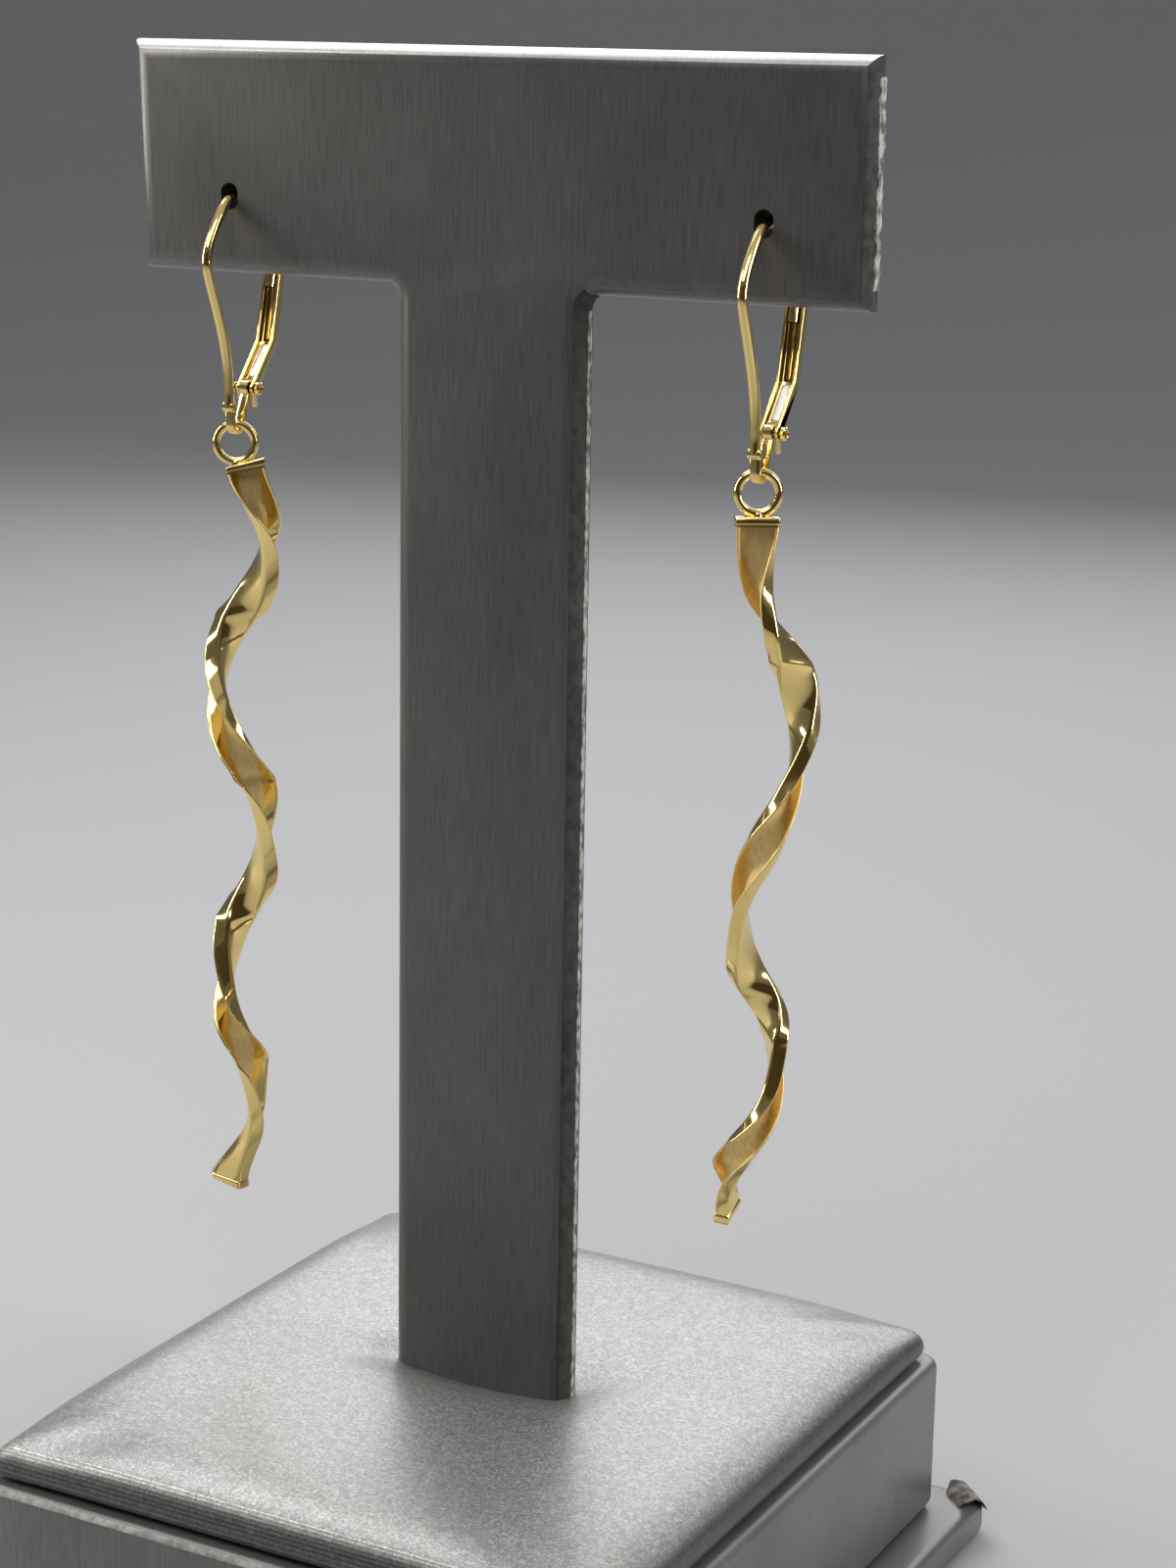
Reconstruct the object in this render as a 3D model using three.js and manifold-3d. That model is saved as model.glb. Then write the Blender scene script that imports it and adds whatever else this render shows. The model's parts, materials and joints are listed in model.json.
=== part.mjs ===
// A pair of lever-back dangle earrings hung on a T-shaped stand of wrapped board.
// Millimetres, +Z up. X runs along the crossbar and the front faces -Y.
// The origin is the middle of the plinth's underside.

import * as THREE from "three";
import { mergeVertices } from "three/addons/utils/BufferGeometryUtils.js";
import Module from "manifold-3d";

const wasm = await Module();
wasm.setup();

// How many times as thick a cutting shape is as what it cuts
const CUT_THROUGH = 2;

// Driving dimensions of the stand
const SEAT_GAP = 0.1;
const SLOT_GAP = 0.3;
const PLINTH = { width: 52.4, depth: 56, height: 2.8, corner: 0.4 };
const BLOCK = { width: 46.8, depth: 50.3, height: 11.3, corner: 1.4, edge: 0.8 };
const PAD = { width: BLOCK.width, depth: BLOCK.depth, height: 2.9, corner: 2.2, roll: 1.2 };
const BOARD = {
  width: 52,
  rise: 87.2,
  thickness: 2.6,
  frontAt: -0.63,
  barHeight: 14.66,
  stemWidth: 13.4,
  edge: 0.55,
  innerFillet: 0.8,
};
const HOLE = { width: 1.12, height: 1.7 };
const LEFT_HOLE = { across: 19.1, rise: 77.46 };
const RIGHT_HOLE = { across: 18.85, rise: 77.4 };

// Driving dimensions of an earring, taken back from the board's front and up or down from its hole
const WIRE = { radius: 0.33, sides: 8, steps: 44 };
const ARCH = { bulge: 2.6, crown: 0.16, hang: 14.69, tipDrop: 6.06 };
const LOOP = { behind: 0.4, radius: 0.52, thickness: 0.28, width: 0.64 };
const COLLAR = { above: 1.15, radius: 0.32, length: 0.9, overlap: 0.15 };
const PIN = { radius: 0.22, running: 0.05, behind: 1.35, above: 2.23 };
const BOSS = { radius: 0.5, from: -20, to: 200 };
const RIVET = { head: 0.42, headLength: 0.34, neck: 0.14, recess: 0.22, recessDepth: 0.2 };
const RIVET_TAIL = { radius: 0.34, length: 0.12, clear: 0.1 };
const LEVER = {
  wall: 0.22,
  sideGap: 0.11,
  depth: 0.66,
  bendBack: 2.33,
  bendUp: 2.83,
  topBack: 3.75,
  topUp: 9.3,
  webStart: 0.75,
  tipGap: 0.1,
  prong: 1.25,
  prongBack: 0.15,
  prongWidth: 0.42,
};
const RING = { radius: 1.25, wire: 0.27, turn: 31, sections: 16, sides: 6 };
const RIBBON = { wall: 0.28, radius: 1.05, steps: 78 };
const CAP = { height: 0.45, margin: 0.05, sink: 0.15, bead: 0.34, tiltRun: 3 };
const LEFT_DROP = { length: 51.1, floor: 2.05, lips: 2.85, flange: 0.76, headLift: 0.3 };
const RIGHT_DROP = { length: 44.8, floor: 2.5, lips: 2.4, flange: 0.7, headLift: 0 };

// Where each earring hangs, its drop's length and channel, how far the drop's head is lifted
// against the ring, and the tilt in degrees of the drop's two ends
const SIDES = [
  {
    name: "left",
    hole: { across: -LEFT_HOLE.across, rise: LEFT_HOLE.rise },
    drop: LEFT_DROP,
    headTilt: -17,
    footTilt: -19,
  },
  {
    name: "right",
    hole: RIGHT_HOLE,
    drop: RIGHT_DROP,
    headTilt: 0,
    footTilt: 30,
  },
];

// How each ribbon is wound, from its foot to its head in rows of equal height: its turn in
// degrees, its reach from the axis and the axis's lean along X as shares of RIBBON.radius, and
// its width as a share of the channel's
const WINDINGS = {
  left: [
    { turn: 103, reach: 0.67, lean: -1.6, width: 0.93 },
    { turn: 39, reach: 0.94, lean: -0.4, width: 0.63 },
    { turn: -10, reach: 1.06, lean: -0.48, width: 0.94 },
    { turn: -121, reach: 1.07, lean: 0.38, width: 0.79 },
    { turn: -200, reach: 0.99, lean: 0.39, width: 0.99 },
    { turn: -294, reach: 1.08, lean: 0.32, width: 0.98 },
    { turn: -352, reach: 1.01, lean: 0.49, width: 0.92 },
    { turn: -444, reach: 1.06, lean: 0.34, width: 0.97 },
    { turn: -528, reach: 1.02, lean: -0.05, width: 0.81 },
    { turn: -622, reach: 0.96, lean: 0.2, width: 1.15 },
    { turn: -696, reach: 0.56, lean: 1.47, width: 0.9 },
    { turn: -785, reach: 0.2, lean: 0.9, width: 0.9 },
  ],
  right: [
    { turn: 178, reach: -0.23, lean: -0.7, width: 0.68 },
    { turn: 267, reach: 0.91, lean: 0.36, width: 1 },
    { turn: 362, reach: 1.12, lean: 0.68, width: 0.74 },
    { turn: 417, reach: 0.93, lean: 1.04, width: 0.86 },
    { turn: 522, reach: 1, lean: 1, width: 1.04 },
    { turn: 568, reach: 0.85, lean: 0.76, width: 0.81 },
    { turn: 635, reach: 0.81, lean: 1.25, width: 0.98 },
    { turn: 723, reach: 1.06, lean: 1.3, width: 0.74 },
    { turn: 795, reach: 1.14, lean: 2.33, width: 0.87 },
    { turn: 881, reach: 1.05, lean: 3.16, width: 1.05 },
    { turn: 966, reach: 0.31, lean: 0.58, width: 0.79 },
    { turn: 1021, reach: 0.2, lean: -0.05, width: 1.09 },
  ],
};

// The arch of the ear wire from its crown round to the loop: across from the front of the bulge
// to the back of the arch, and down from the crown to the loop's middle, each as a share
const ARCH_ROWS = [
  { across: 0.96, down: 0.13 },
  { across: 0.85, down: 0.045 },
  { across: 0.66, down: 0 },
  { across: 0.5, down: 0 },
  { across: 0.33, down: 0.025 },
  { across: 0.19, down: 0.095 },
  { across: 0.05, down: 0.2 },
  { across: 0, down: 0.28 },
  { across: 0.03, down: 0.35 },
  { across: 0.115, down: 0.46 },
  { across: 0.21, down: 0.595 },
  { across: 0.27, down: 0.72 },
  { across: 0.295, down: 0.84 },
];

// Finishes
const FINISHES = {
  wrapDark: { color: 0x5a5654, roughness: 0.55, metalness: 0 },
  wrapLight: { color: 0x6e6b69, roughness: 0.65, metalness: 0 },
  polishedGold: { color: 0xe6c277, roughness: 0.2, metalness: 1 },
  satinGold: { color: 0xcfa95f, roughness: 0.4, metalness: 1 },
};

// Heights that the stacked stand gives
const blockBottom = PLINTH.height + SEAT_GAP;
const padBottom = blockBottom + BLOCK.height + SEAT_GAP;
const padTop = padBottom + PAD.height;
const boardFoot = padBottom + SEAT_GAP;

// Sizes of the loop and lever that the driving dimensions give
const leverInner = LOOP.width + 2 * LEVER.sideGap;
const leverOuter = leverInner + 2 * LEVER.wall;
const legFront = LOOP.behind - LOOP.radius - LOOP.thickness / 2;

const rad = THREE.MathUtils.degToRad;
const group = new THREE.Group();

function addMesh(parent, name, geometry, finish) {
  const mesh = new THREE.Mesh(geometry, new THREE.MeshStandardMaterial(FINISHES[finish]));
  mesh.name = name;
  parent.add(mesh);
  return mesh;
}

// A closed geometry as a solid that can be joined and cut, and back again
function toSolid(geometry) {
  const bare = geometry.clone();
  bare.deleteAttribute("normal");
  bare.deleteAttribute("uv");
  const merged = mergeVertices(bare, 1e-4);
  const vertProperties = new Float32Array(merged.attributes.position.array);
  const triVerts = new Uint32Array(merged.index.array);
  return new wasm.Manifold(new wasm.Mesh({ numProp: 3, vertProperties, triVerts }));
}

function toGeometry(solid) {
  const { vertProperties, triVerts } = solid.getMesh();
  const geometry = new THREE.BufferGeometry();
  geometry.setAttribute("position", new THREE.BufferAttribute(vertProperties, 3));
  geometry.setIndex(new THREE.BufferAttribute(triVerts, 1));
  return geometry;
}

function joinAll(geometries) {
  return geometries.map(toSolid).reduce((whole, next) => whole.add(next));
}

// An outline drawn as (X, Z) and given a thickness along Y, from the plane y = 0 backwards
function standUp(geometry, thickness) {
  return geometry.rotateX(Math.PI / 2).translate(0, thickness, 0);
}

// An outline drawn as (Y, Z) and given a width along X, centred on x = 0
function acrossX(shape, width, curveSegments = 5) {
  const geometry = new THREE.ExtrudeGeometry(shape, { depth: width, bevelEnabled: false, curveSegments });
  geometry.applyMatrix4(new THREE.Matrix4().makeBasis(
    new THREE.Vector3(0, 1, 0),
    new THREE.Vector3(0, 0, 1),
    new THREE.Vector3(1, 0, 0),
  ));
  return geometry.translate(-width / 2, 0, 0);
}

function outline(points) {
  return new THREE.Shape(points.map(([a, b]) => new THREE.Vector2(a, b)));
}

function roundedRectangle(width, depth, corner) {
  const x = width / 2 - corner;
  const y = depth / 2 - corner;
  const shape = new THREE.Shape();
  shape.absarc(x, y, corner, 0, Math.PI / 2, false);
  shape.absarc(-x, y, corner, Math.PI / 2, Math.PI, false);
  shape.absarc(-x, -y, corner, Math.PI, 1.5 * Math.PI, false);
  shape.absarc(x, -y, corner, 1.5 * Math.PI, 2 * Math.PI, false);
  shape.closePath();
  return shape;
}

// A flat slab with its top and bottom edges rounded over, standing on z = 0
function roundedSlab(shape, height, edge, edgeSegments) {
  const geometry = new THREE.ExtrudeGeometry(shape, {
    depth: height - 2 * edge,
    bevelEnabled: edge > 0,
    bevelThickness: edge,
    bevelSize: edge,
    bevelOffset: -edge,
    bevelSegments: edgeSegments,
    curveSegments: 4,
  });
  return geometry.translate(0, 0, edge);
}

// Stand
function makePlinth() {
  return roundedSlab(roundedRectangle(PLINTH.width, PLINTH.depth, PLINTH.corner), PLINTH.height, 0, 1);
}

function makeBlock() {
  const shape = roundedRectangle(BLOCK.width, BLOCK.depth, BLOCK.corner);
  return roundedSlab(shape, BLOCK.height, BLOCK.edge, 2).translate(0, 0, blockBottom);
}

// The pad's rim rolls over to a lip, and its slot takes the board's foot
function makePad() {
  const shape = roundedRectangle(PAD.width, PAD.depth, PAD.corner);
  const pad = roundedSlab(shape, PAD.height, PAD.roll, 4).translate(0, 0, padBottom);
  const slot = new THREE.BoxGeometry(
    BOARD.stemWidth + 2 * SLOT_GAP,
    BOARD.thickness + 2 * SLOT_GAP,
    PAD.height * CUT_THROUGH,
  );
  slot.translate(0, BOARD.frontAt + BOARD.thickness / 2, padBottom + PAD.height / 2);
  return toGeometry(toSolid(pad).subtract(toSolid(slot)));
}

function boardShape() {
  const stem = BOARD.stemWidth / 2;
  const half = BOARD.width / 2;
  const top = padTop + BOARD.rise;
  const under = top - BOARD.barHeight;
  const fillet = BOARD.innerFillet;
  const shape = new THREE.Shape();
  shape.moveTo(-stem, boardFoot);
  shape.lineTo(stem, boardFoot);
  shape.lineTo(stem, under - fillet);
  shape.absarc(stem + fillet, under - fillet, fillet, Math.PI, Math.PI / 2, true);
  shape.lineTo(half, under);
  shape.lineTo(half, top);
  shape.lineTo(-half, top);
  shape.lineTo(-half, under);
  shape.lineTo(-stem - fillet, under);
  shape.absarc(-stem - fillet, under - fillet, fillet, Math.PI / 2, 0, true);
  shape.closePath();
  return shape;
}

// The punched hole for an ear wire, a little taller than it is wide
function holeCut(side) {
  const radius = HOLE.width / 2;
  const reach = (HOLE.height - HOLE.width) / 2;
  const middle = padTop + side.hole.rise;
  const shape = new THREE.Shape();
  shape.absarc(side.hole.across, middle + reach, radius, 0, Math.PI, false);
  shape.absarc(side.hole.across, middle - reach, radius, Math.PI, 2 * Math.PI, false);
  shape.closePath();
  const depth = BOARD.thickness * CUT_THROUGH;
  const geometry = new THREE.ExtrudeGeometry(shape, { depth, bevelEnabled: false, curveSegments: 8 });
  return standUp(geometry, depth).translate(0, BOARD.frontAt - BOARD.thickness / 2, 0);
}

function makeBoard() {
  const slab = roundedSlab(boardShape(), BOARD.thickness, BOARD.edge, 2);
  const board = toSolid(standUp(slab, BOARD.thickness).translate(0, BOARD.frontAt, 0));
  return toGeometry(SIDES.reduce((whole, side) => whole.subtract(toSolid(holeCut(side))), board));
}

// The lever's middle line as (back, up) points: the pin, the bend and the top
const pinBack = LOOP.behind + PIN.behind;
const pinUp = -ARCH.hang + PIN.above;
const leverLine = [
  new THREE.Vector2(pinBack, pinUp),
  new THREE.Vector2(pinBack + LEVER.bendBack, pinUp + LEVER.bendUp),
  new THREE.Vector2(pinBack + LEVER.topBack, pinUp + LEVER.topUp),
];
const lowerRun = leverLine[1].clone().sub(leverLine[0]).normalize();
const upperRun = leverLine[2].clone().sub(leverLine[1]).normalize();

// A run's own normal, towards the lever's back
function backOf(run) {
  return new THREE.Vector2(run.y, -run.x);
}

// The lever's line moved back by a distance, mitred at the bend, with its ends moved along it
function leverOffset(distance, atFoot = 0, pastTop = 0) {
  const middle = backOf(lowerRun).add(backOf(upperRun)).normalize();
  const mitre = distance / middle.dot(backOf(upperRun));
  return [
    leverLine[0].clone().addScaledVector(backOf(lowerRun), distance).addScaledVector(lowerRun, atFoot),
    leverLine[1].clone().addScaledVector(middle, mitre),
    leverLine[2].clone().addScaledVector(backOf(upperRun), distance).addScaledVector(upperRun, pastTop),
  ];
}

// Where the middle of the wire lies inside the upper channel at a height
function wireBackAt(up) {
  const inside = LEVER.depth / 2 - LEVER.wall - LEVER.tipGap - WIRE.radius;
  const [, bend, top] = leverOffset(inside);
  return THREE.MathUtils.mapLinear(up, bend.y, top.y, bend.x, top.x);
}

// Ear wire: an arch through the hole, soldered at its collar to a flat strap that is bent into
// the loop and ends in the hinge's boss
function archCurve() {
  const tipUp = -ARCH.tipDrop;
  const topUp = leverLine[2].y;
  const backAt = wireBackAt(topUp);
  const points = [
    new THREE.Vector3(0, wireBackAt(tipUp), tipUp),
    new THREE.Vector3(0, backAt, topUp),
  ];
  for (const row of ARCH_ROWS) {
    const back = THREE.MathUtils.lerp(-ARCH.bulge, backAt, row.across);
    const up = THREE.MathUtils.lerp(ARCH.crown, -ARCH.hang, row.down);
    points.push(new THREE.Vector3(0, back, up));
  }
  points.push(new THREE.Vector3(0, legFront, -ARCH.hang + COLLAR.above));
  return new THREE.CatmullRomCurve3(points);
}

function makeWire() {
  const section = new THREE.Shape();
  for (let side = 0; side < WIRE.sides; side += 1) {
    const angle = ((side + 0.5) / WIRE.sides) * 2 * Math.PI;
    const x = WIRE.radius * Math.cos(angle);
    const y = WIRE.radius * Math.sin(angle);
    if (side === 0) {
      section.moveTo(x, y);
    } else {
      section.lineTo(x, y);
    }
  }
  section.closePath();
  return new THREE.ExtrudeGeometry(section, { steps: WIRE.steps, extrudePath: archCurve() });
}

function makeStrap() {
  const middle = -ARCH.hang;
  const inner = LOOP.radius;
  const outer = LOOP.radius + LOOP.thickness;
  const shape = new THREE.Shape();
  const top = middle + COLLAR.above + COLLAR.overlap;
  shape.moveTo(LOOP.behind - outer, top);
  shape.absarc(LOOP.behind, middle, outer, Math.PI, 2 * Math.PI, false);
  shape.absarc(pinBack, pinUp, BOSS.radius, rad(BOSS.from), rad(BOSS.to), false);
  shape.absarc(LOOP.behind, middle, inner, 0, -Math.PI, true);
  shape.lineTo(LOOP.behind - inner, top);
  shape.closePath();
  const pinHole = new THREE.Path();
  pinHole.absarc(pinBack, pinUp, PIN.radius + PIN.running, 0, 2 * Math.PI, true);
  shape.holes.push(pinHole);
  return acrossX(shape, LOOP.width, 10);
}

function makeCollar() {
  const collar = new THREE.CylinderGeometry(COLLAR.radius, COLLAR.radius, COLLAR.length, 8);
  return collar.rotateZ(Math.PI / 2).translate(0, legFront, -ARCH.hang + COLLAR.above);
}

function makeHook() {
  return toGeometry(joinAll([makeWire(), makeStrap(), makeCollar()]));
}

// Hinge pin: a hollow rivet whose head stands out beyond the lever
function makePin() {
  const tailAt = -leverOuter / 2 - RIVET_TAIL.clear;
  const headAt = leverOuter / 2 + RIVET.neck;
  const end = headAt + RIVET.headLength;
  const profile = [
    [0, tailAt - RIVET_TAIL.length],
    [RIVET_TAIL.radius, tailAt - RIVET_TAIL.length],
    [RIVET_TAIL.radius, tailAt],
    [PIN.radius, tailAt],
    [PIN.radius, headAt],
    [RIVET.head, headAt],
    [RIVET.head, end],
    [RIVET.recess, end],
    [RIVET.recess, end - RIVET.recessDepth],
    [0, end - RIVET.recessDepth],
  ];
  const geometry = new THREE.LatheGeometry(profile.map(([r, s]) => new THREE.Vector2(r, s)), 12);
  return geometry.rotateZ(-Math.PI / 2).translate(0, pinBack, pinUp);
}

// Lever: a channel with its open side to the front, two knuckles on the pin and two prongs below
function leverOutline() {
  const front = leverOffset(-LEVER.depth / 2);
  const back = leverOffset(LEVER.depth / 2);
  const start = lowerRun.angle() - Math.PI / 2;
  const shape = new THREE.Shape();
  shape.moveTo(front[2].x, front[2].y);
  shape.lineTo(front[1].x, front[1].y);
  shape.lineTo(front[0].x, front[0].y);
  shape.absarc(pinBack, pinUp, LEVER.depth / 2, start + Math.PI, start + 2 * Math.PI, false);
  shape.lineTo(back[1].x, back[1].y);
  shape.lineTo(back[2].x, back[2].y);
  shape.closePath();
  return shape;
}

function channelCut() {
  const far = LEVER.depth * CUT_THROUGH;
  const front = leverOffset(-far, -far, far);
  const web = leverOffset(LEVER.depth / 2 - LEVER.wall, LEVER.webStart, far);
  const below = leverOffset(far, LEVER.webStart)[0];
  const foot = leverOffset(far, -far)[0];
  const points = [...front, ...web.slice().reverse(), below, foot];
  return outline(points.map((p) => [p.x, p.y]));
}

// One prong runs down from the pin on each side of the strap
function prongOutline() {
  const half = LEVER.prongWidth / 2;
  return outline([
    [pinBack - half, pinUp],
    [pinBack + LEVER.prongBack - half, pinUp - LEVER.prong],
    [pinBack + LEVER.prongBack + half, pinUp - LEVER.prong],
    [pinBack + half, pinUp],
  ]);
}

function makeLever() {
  const cut = toSolid(acrossX(channelCut(), leverInner));
  const prongs = toSolid(acrossX(prongOutline(), leverOuter));
  const radius = PIN.radius + PIN.running;
  const bore = new THREE.CylinderGeometry(radius, radius, leverOuter * CUT_THROUGH, 12);
  bore.rotateZ(Math.PI / 2).translate(0, pinBack, pinUp);
  const walls = toSolid(acrossX(leverOutline(), leverOuter)).add(prongs);
  return toGeometry(walls.subtract(cut).subtract(toSolid(bore)));
}

// The ribbon's section: a flat floor and two flanges that flare out to their lips
function channelOutline(side) {
  const floor = side.drop.floor / 2;
  const lips = side.drop.lips / 2;
  const { flange } = side.drop;
  const { wall } = RIBBON;
  return outline([
    [-floor, -wall],
    [0, -wall],
    [floor, -wall],
    [lips, flange],
    [lips - wall, flange],
    [floor - wall, 0],
    [0, 0],
    [wall - floor, 0],
    [wall - lips, flange],
    [-lips, flange],
  ]);
}

function capOutline(side) {
  const { margin } = CAP;
  const floor = side.drop.floor / 2 + margin;
  const lips = side.drop.lips / 2 + margin;
  const low = -RIBBON.wall - margin;
  const high = side.drop.flange + margin;
  return outline([[-floor, low], [floor, low], [lips, high], [-lips, high]]);
}

// A smooth value of one column at a share of the height
function windingAt(rows, column, share) {
  const points = rows.map((row, index) => new THREE.Vector2(index, row[column]));
  return new THREE.SplineCurve(points).getPoint(share).y;
}

// The slope that an end's tilt gives the strip, dying away with the distance from that end
function endTilt(distance, tilt) {
  return Math.max(0, 1 - distance / CAP.tiltRun) ** 2 * Math.tan(rad(tilt));
}

// Winds a straight strip round the drop's axis
function wind(geometry, side) {
  const rows = WINDINGS[side.name];
  const place = geometry.attributes.position;
  for (let index = 0; index < place.count; index += 1) {
    const out = place.getY(index);
    const up = place.getZ(index);
    const along = (up - CAP.height) / (side.drop.length - 2 * CAP.height);
    const share = THREE.MathUtils.clamp(along, 0, 1);
    const across = place.getX(index) * windingAt(rows, "width", share);
    const turn = rad(windingAt(rows, "turn", share));
    const reach = RIBBON.radius * windingAt(rows, "reach", share) + out;
    const lean = RIBBON.radius * windingAt(rows, "lean", share);
    const foot = endTilt(up, side.footTilt);
    const head = endTilt(side.drop.length - up, side.headTilt);
    place.setXYZ(
      index,
      lean + reach * Math.cos(turn) + across * Math.sin(turn),
      reach * Math.sin(turn) - across * Math.cos(turn),
      up + (foot + head) * across,
    );
  }
  return geometry;
}

function makeRibbon(side) {
  const { length } = side.drop;
  const inset = CAP.height / 2;
  const depth = length - 2 * inset;
  const long = { depth, steps: RIBBON.steps, bevelEnabled: false };
  const strip = new THREE.ExtrudeGeometry(channelOutline(side), long);
  const short = { depth: CAP.height, bevelEnabled: false };
  const foot = new THREE.ExtrudeGeometry(capOutline(side), short);
  const head = new THREE.ExtrudeGeometry(capOutline(side), short).translate(0, 0, length - CAP.height);
  const straight = toGeometry(joinAll([strip.translate(0, 0, inset), foot, head]));
  return wind(straight, side);
}

// Drop: the wound ribbon, its capped ends, and a ring that turns to face three-quarters right
function makeDrop(side) {
  const middle = -ARCH.hang - RING.radius;
  const bottom = middle - RING.radius - RING.wire;
  const foot = bottom + CAP.sink + side.drop.headLift - side.drop.length;
  const ribbon = makeRibbon(side).translate(0, LOOP.behind, foot);
  const ring = new THREE.TorusGeometry(RING.radius, RING.wire, RING.sides, RING.sections);
  ring.rotateX(Math.PI / 2).rotateZ(rad(RING.turn)).translate(0, LOOP.behind, middle);
  const bead = new THREE.IcosahedronGeometry(CAP.bead, 1).translate(0, LOOP.behind, bottom + CAP.sink);
  return toGeometry(joinAll([ribbon, ring, bead]));
}

function addEarring(side) {
  const earring = new THREE.Group();
  earring.position.set(side.hole.across, BOARD.frontAt, padTop + side.hole.rise);
  addMesh(earring, `ear_hook_${side.name}`, makeHook(), "polishedGold");
  addMesh(earring, `hinge_pin_${side.name}`, makePin(), "polishedGold");
  addMesh(earring, `lever_${side.name}`, makeLever(), "polishedGold");
  addMesh(earring, `drop_${side.name}`, makeDrop(side), "satinGold");
  group.add(earring);
}

addMesh(group, "stand_plinth", makePlinth(), "wrapLight");
addMesh(group, "stand_block", makeBlock(), "wrapLight");
addMesh(group, "stand_pad", makePad(), "wrapLight");
addMesh(group, "stand_t_plate", makeBoard(), "wrapDark");
SIDES.forEach(addEarring);

export default group;
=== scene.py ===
import json
import math

import bmesh
import bpy
from mathutils import Matrix, Vector, noise


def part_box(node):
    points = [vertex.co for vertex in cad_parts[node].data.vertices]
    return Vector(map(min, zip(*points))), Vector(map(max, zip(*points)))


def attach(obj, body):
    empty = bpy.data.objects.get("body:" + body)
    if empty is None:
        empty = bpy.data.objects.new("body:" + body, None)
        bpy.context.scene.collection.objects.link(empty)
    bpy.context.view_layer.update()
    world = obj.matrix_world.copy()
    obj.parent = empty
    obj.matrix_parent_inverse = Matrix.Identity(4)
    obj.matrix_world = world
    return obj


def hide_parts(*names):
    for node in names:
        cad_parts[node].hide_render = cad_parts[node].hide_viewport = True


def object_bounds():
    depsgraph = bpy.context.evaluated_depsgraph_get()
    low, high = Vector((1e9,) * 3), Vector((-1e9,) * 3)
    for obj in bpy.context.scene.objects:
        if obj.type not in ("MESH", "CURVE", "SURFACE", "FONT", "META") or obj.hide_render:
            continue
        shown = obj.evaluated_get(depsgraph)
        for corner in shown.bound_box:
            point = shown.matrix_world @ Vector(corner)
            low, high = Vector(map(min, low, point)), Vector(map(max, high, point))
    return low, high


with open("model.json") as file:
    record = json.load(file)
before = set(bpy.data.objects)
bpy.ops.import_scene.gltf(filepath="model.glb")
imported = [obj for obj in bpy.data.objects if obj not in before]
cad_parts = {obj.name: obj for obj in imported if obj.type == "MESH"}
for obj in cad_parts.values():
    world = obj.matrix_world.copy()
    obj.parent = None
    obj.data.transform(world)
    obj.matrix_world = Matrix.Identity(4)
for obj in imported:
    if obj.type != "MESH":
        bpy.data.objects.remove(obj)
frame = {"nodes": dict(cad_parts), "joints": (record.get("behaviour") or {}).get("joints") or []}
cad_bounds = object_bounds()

# Millimetres are used for every named size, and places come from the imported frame
MM = 0.001

JOINTS = {joint["name"]: Vector(joint["pos_m"]) for joint in frame["joints"]}
PLATE_LOW, PLATE_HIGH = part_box("stand_t_plate")
PAD_LOW, PAD_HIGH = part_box("stand_pad")
BLOCK_LOW, BLOCK_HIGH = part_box("stand_block")
PLINTH_LOW, PLINTH_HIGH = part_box("stand_plinth")

# The wrapped stand
STEM_HALF = 6.7 * MM
BAR_HEIGHT = 14.66 * MM
BAR_UNDER = PLATE_HIGH.z - BAR_HEIGHT
PLATE_EDGE = 1.25 * MM
BAR_FLARE = (0.3 * MM, 0.9 * MM)
FLARE_RUN = 4.0 * MM
BAR_TRIM = 0.4 * MM
PLATE_FILLET = 1.0 * MM
HOLE_WIDTH = 1.3 * MM
HOLE_HEIGHT = 1.7 * MM
HOLE_ABOVE_PIVOT = 14.69 * MM
TEAR_SIZE = 3.2 * MM
TEAR_CURL = 1.5 * MM
TEAR_THICKNESS = 0.12 * MM
TEAR_INSET = (0.4, 0.45)
TEAR_CRUMPLE = 0.35 * MM
TEAR_SHIFT = 0.25 * MM
TEAR_DIP = 0.3 * MM
TEAR_GRAIN = 0.7 * MM
TEAR_START = Vector((3.0, 1.0, 2.0))
BAR_SEAM_WIDTH = 0.75 * MM
STEM_SEAM_WIDTH = 0.45 * MM
SEAM_STEP = 0.18 * MM
BAR_RAGGED = 0.16 * MM
STEM_RAGGED = 0.07 * MM
SEAM_GRAIN = 0.45 * MM
SEAM_THICKNESS = 0.3 * MM
PLINTH_CORNER = 1.1 * MM
PLINTH_EDGE = 0.8 * MM
BLOCK_CORNER = 1.4 * MM
BLOCK_EDGE = 0.7 * MM

# The cushion is swelled as cloth at a larger scale, where the cloth is steady
CLOTH_SCALE = 20.0
CLOTH_VOXEL = 0.012
CLOTH_CAP = 0.012
CLOTH_PRESSURE = 4.0
CLOTH_QUALITY = 6
CLOTH_FRAMES = 20
HELD_FOOT = 0.25 * MM
HELD_ROUND_STEM = 0.2 * MM
PAD_SHY = 0.05 * MM
PAD_ROLL = 1.5 * MM
PAD_TUCK = 0.8 * MM
PAD_CORNER = 1.1 * MM
DIMPLE_DEPTH = 1.0 * MM
DIMPLE_RUN = 6.5 * MM
DIMPLE_ENDS = 0.5
CLOTH_SMOOTHING = 14
CORNER_DROOP = 0.7 * MM
DROOP_POWER = 5
# How far painted shade reaches in from the cushion's front and side edges
FRONT_SHADE_RUN = 1.6 * MM
SIDE_SHADE_RUN = 1.4 * MM
# Painted highlight lines over the cushion's front roll: where they run, how close and how thin
RIDGE_SPAN = (0.25 * MM, 1.75 * MM)
RIDGE_PITCH = 0.36 * MM
RIDGE_CUT = 0.6

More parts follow.
